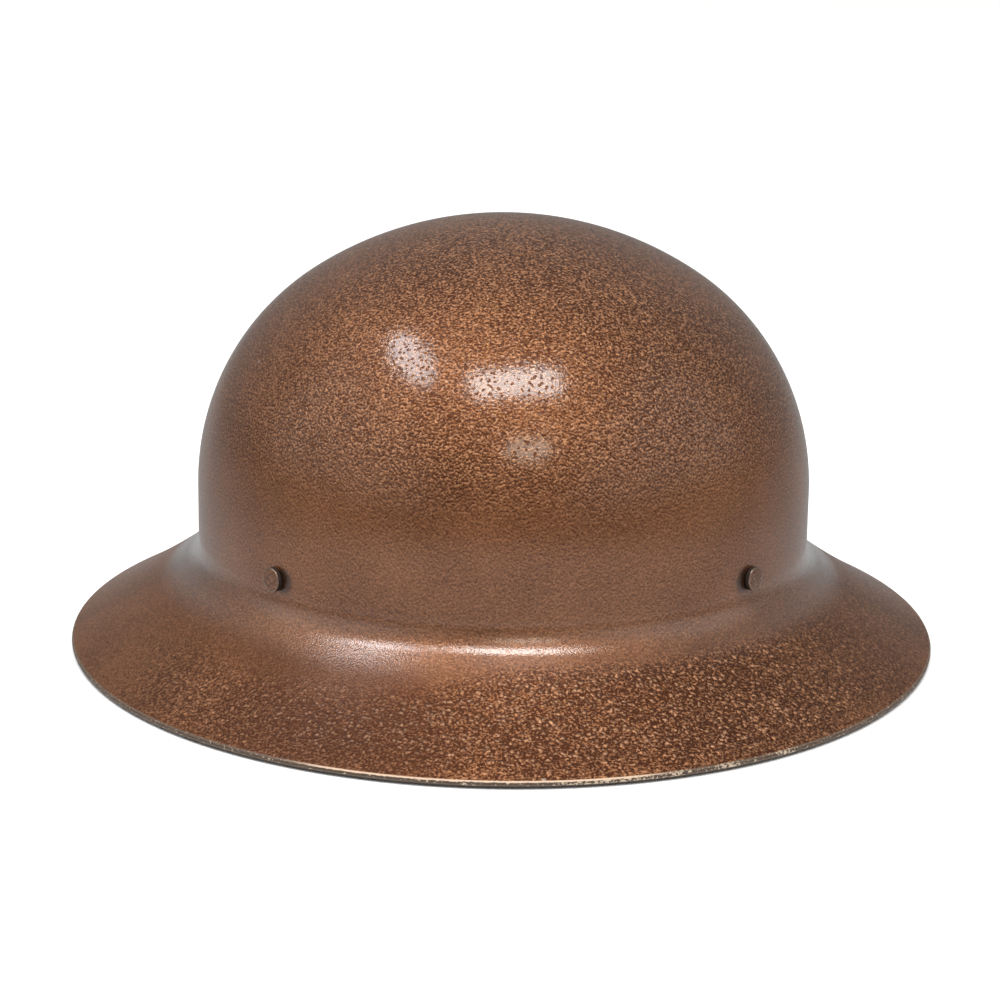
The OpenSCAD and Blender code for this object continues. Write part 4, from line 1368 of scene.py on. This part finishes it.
class HELMET_OT_stage(bpy.types.Operator):
    """Lay the floor, and set the light and the camera"""

    bl_idname = "helmet.stage"
    bl_label = "Stage"

    def execute(self, context):
        settings = context.scene.helmet_stage
        lay_floor(settings)
        light_sky(settings)
        target = Vector((0, 0, 0.06))
        for light in LIGHTS:
            hang_light(target, *light)
        set_camera(settings, target)
        context.scene.view_settings.view_transform = "Standard"
        return {"FINISHED"}


# Soft lights: name, shape, degrees from the front and above level, width and height, power, colour
LIGHTS = (
    ("window_left", "ELLIPSE", -85, 63.3, 1.0, 0.34, 9, (0.98, 0.97, 1.0)),
    ("window_front", "RECTANGLE", 9, 70, 1.0, 0.44, 18.5, (1.0, 0.99, 0.98)),
    ("room_lamp", "ELLIPSE", 11, 39, 0.6, 0.4, 3, (1.0, 0.92, 0.8)),
)


def lay_floor(settings):
    """A large pale floor just under the rim. Reflections see a darker one, darker still far from the
    helmet's front."""
    half, z = 12.0, -0.0004
    corners = [(-half, -half, z), (half, -half, z), (half, half, z), (-half, half, z)]
    mesh = bpy.data.meshes.new("floor")
    mesh.from_pydata(corners, [], [(0, 1, 2, 3)])
    floor = linked("floor", mesh)
    f = Finish("pale_floor")
    spot = f.place()
    cloud = f.noise(spot, 0.4, 2)
    base = f.mix(cloud * 0.5, shade(settings.floor, 0.985), settings.floor)
    away = f.vector("DISTANCE", spot, (0, -0.35, 0), "Value")
    pool = f.mix(away.rise(0.2, 0.55), (0.55, 0.55, 0.56), (0.23, 0.23, 0.23))
    base = f.mix(f.ray("Is Glossy Ray"), base, pool)
    mesh.materials.append(f.done(f.surface(base, 1.0, Specular_IOR_Level=0.0)))


def light_sky(settings):
    """A soft sky whose strength grows from the horizon to the zenith. Reflections see a dimmer one, with a
    pale wall on the left and on the right."""
    f = Finish("studio", world=True)
    x, y, z = f.parts(f.add("ShaderNodeTexCoord", {}, output="Generated"))
    mirrored = f.ray("Is Glossy Ray")
    soft = z.rise(-0.05, 0.85, settings.horizon, settings.sky)
    seen = z.rise(-0.05, 0.85, settings.rim_shine, settings.shine)
    beside = x.math("ABSOLUTE").rise(0.3, 0.75) * y.rise(0.45, 0.1)
    seen = seen + settings.wall_shine * z.rise(0.03, 0.3) * z.rise(0.92, 0.65) * beside
    power = soft * (1 - mirrored) + seen * mirrored
    power = power.top(f.ray("Is Camera Ray") * settings.backdrop)
    glow = f.add("ShaderNodeBackground", {}, {"Color": (1.0, 0.99, 0.98, 1), "Strength": power})
    bpy.context.scene.world = f.done(glow)


def hang_light(target, name, shape, azimuth, elevation, across, tall, power, tone):
    """A flat light two metres from the helmet, facing it."""
    lamp = bpy.data.lights.new(name, "AREA")
    lamp.shape = shape
    lamp.size = across
    lamp.size_y = tall
    lamp.energy = power
    lamp.color = tone
    a, e = math.radians(azimuth), math.radians(elevation)
    way = Vector((math.sin(a) * math.cos(e), -math.cos(a) * math.cos(e), math.sin(e)))
    thing = linked(name, lamp)
    thing.location = target + 2.0 * way
    thing.rotation_euler = way.to_track_quat("Z", "Y").to_matrix().to_euler()


def set_camera(settings, target):
    """The camera looks down at the helmet from the front, turned slightly about its view."""
    data = bpy.data.cameras.new("camera")
    data.lens = settings.lens
    data.sensor_width = 36
    data.shift_x = -0.0039
    data.shift_y = -0.04225
    data.clip_end = 60
    e = settings.elevation
    spot = target + settings.distance * Vector((0, -math.cos(e), math.sin(e)))
    turn = Matrix.Rotation(math.pi / 2 - e, 4, "X") @ Matrix.Rotation(settings.roll, 4, "Z")
    camera = linked("camera", data)
    camera.matrix_world = Matrix.Translation(spot) @ turn
    bpy.context.scene.camera = camera


class HELMET_PT_panel(bpy.types.Panel):
    """Lists the steps that build the helmet"""

    bl_label = "Helmet"
    bl_idname = "HELMET_PT_panel"
    bl_space_type = "VIEW_3D"
    bl_region_type = "UI"
    bl_category = "Helmet"

    def draw(self, context):
        for step in OPERATORS:
            self.layout.operator(step.bl_idname)
        for group in ("helmet_paint", "helmet_harness", "helmet_metal", "helmet_stage"):
            settings = getattr(context.scene, group)
            box = self.layout.box()
            for name in settings.__annotations__:
                box.prop(settings, name)


OPERATORS = (HELMET_OT_stage, HELMET_OT_shell, HELMET_OT_rivets, HELMET_OT_harness, HELMET_OT_metalwork)
GROUPS = {
    "helmet_paint": PaintSettings, "helmet_harness": HarnessSettings,
    "helmet_metal": MetalSettings, "helmet_stage": StageSettings,
}


def register():
    for cls in (*GROUPS.values(), *OPERATORS, HELMET_PT_panel):
        bpy.utils.register_class(cls)
    for name, cls in GROUPS.items():
        setattr(bpy.types.Scene, name, PointerProperty(type=cls))


def unregister():
    for name in GROUPS:
        delattr(bpy.types.Scene, name)
    for cls in (HELMET_PT_panel, *reversed(OPERATORS), *GROUPS.values()):
        bpy.utils.unregister_class(cls)


def main():
    register()
    bpy.ops.helmet.stage()
    bpy.ops.helmet.shell()
    bpy.ops.helmet.rivets()
    bpy.ops.helmet.harness()
    bpy.ops.helmet.metalwork()


if __name__ == "__main__":
    main()
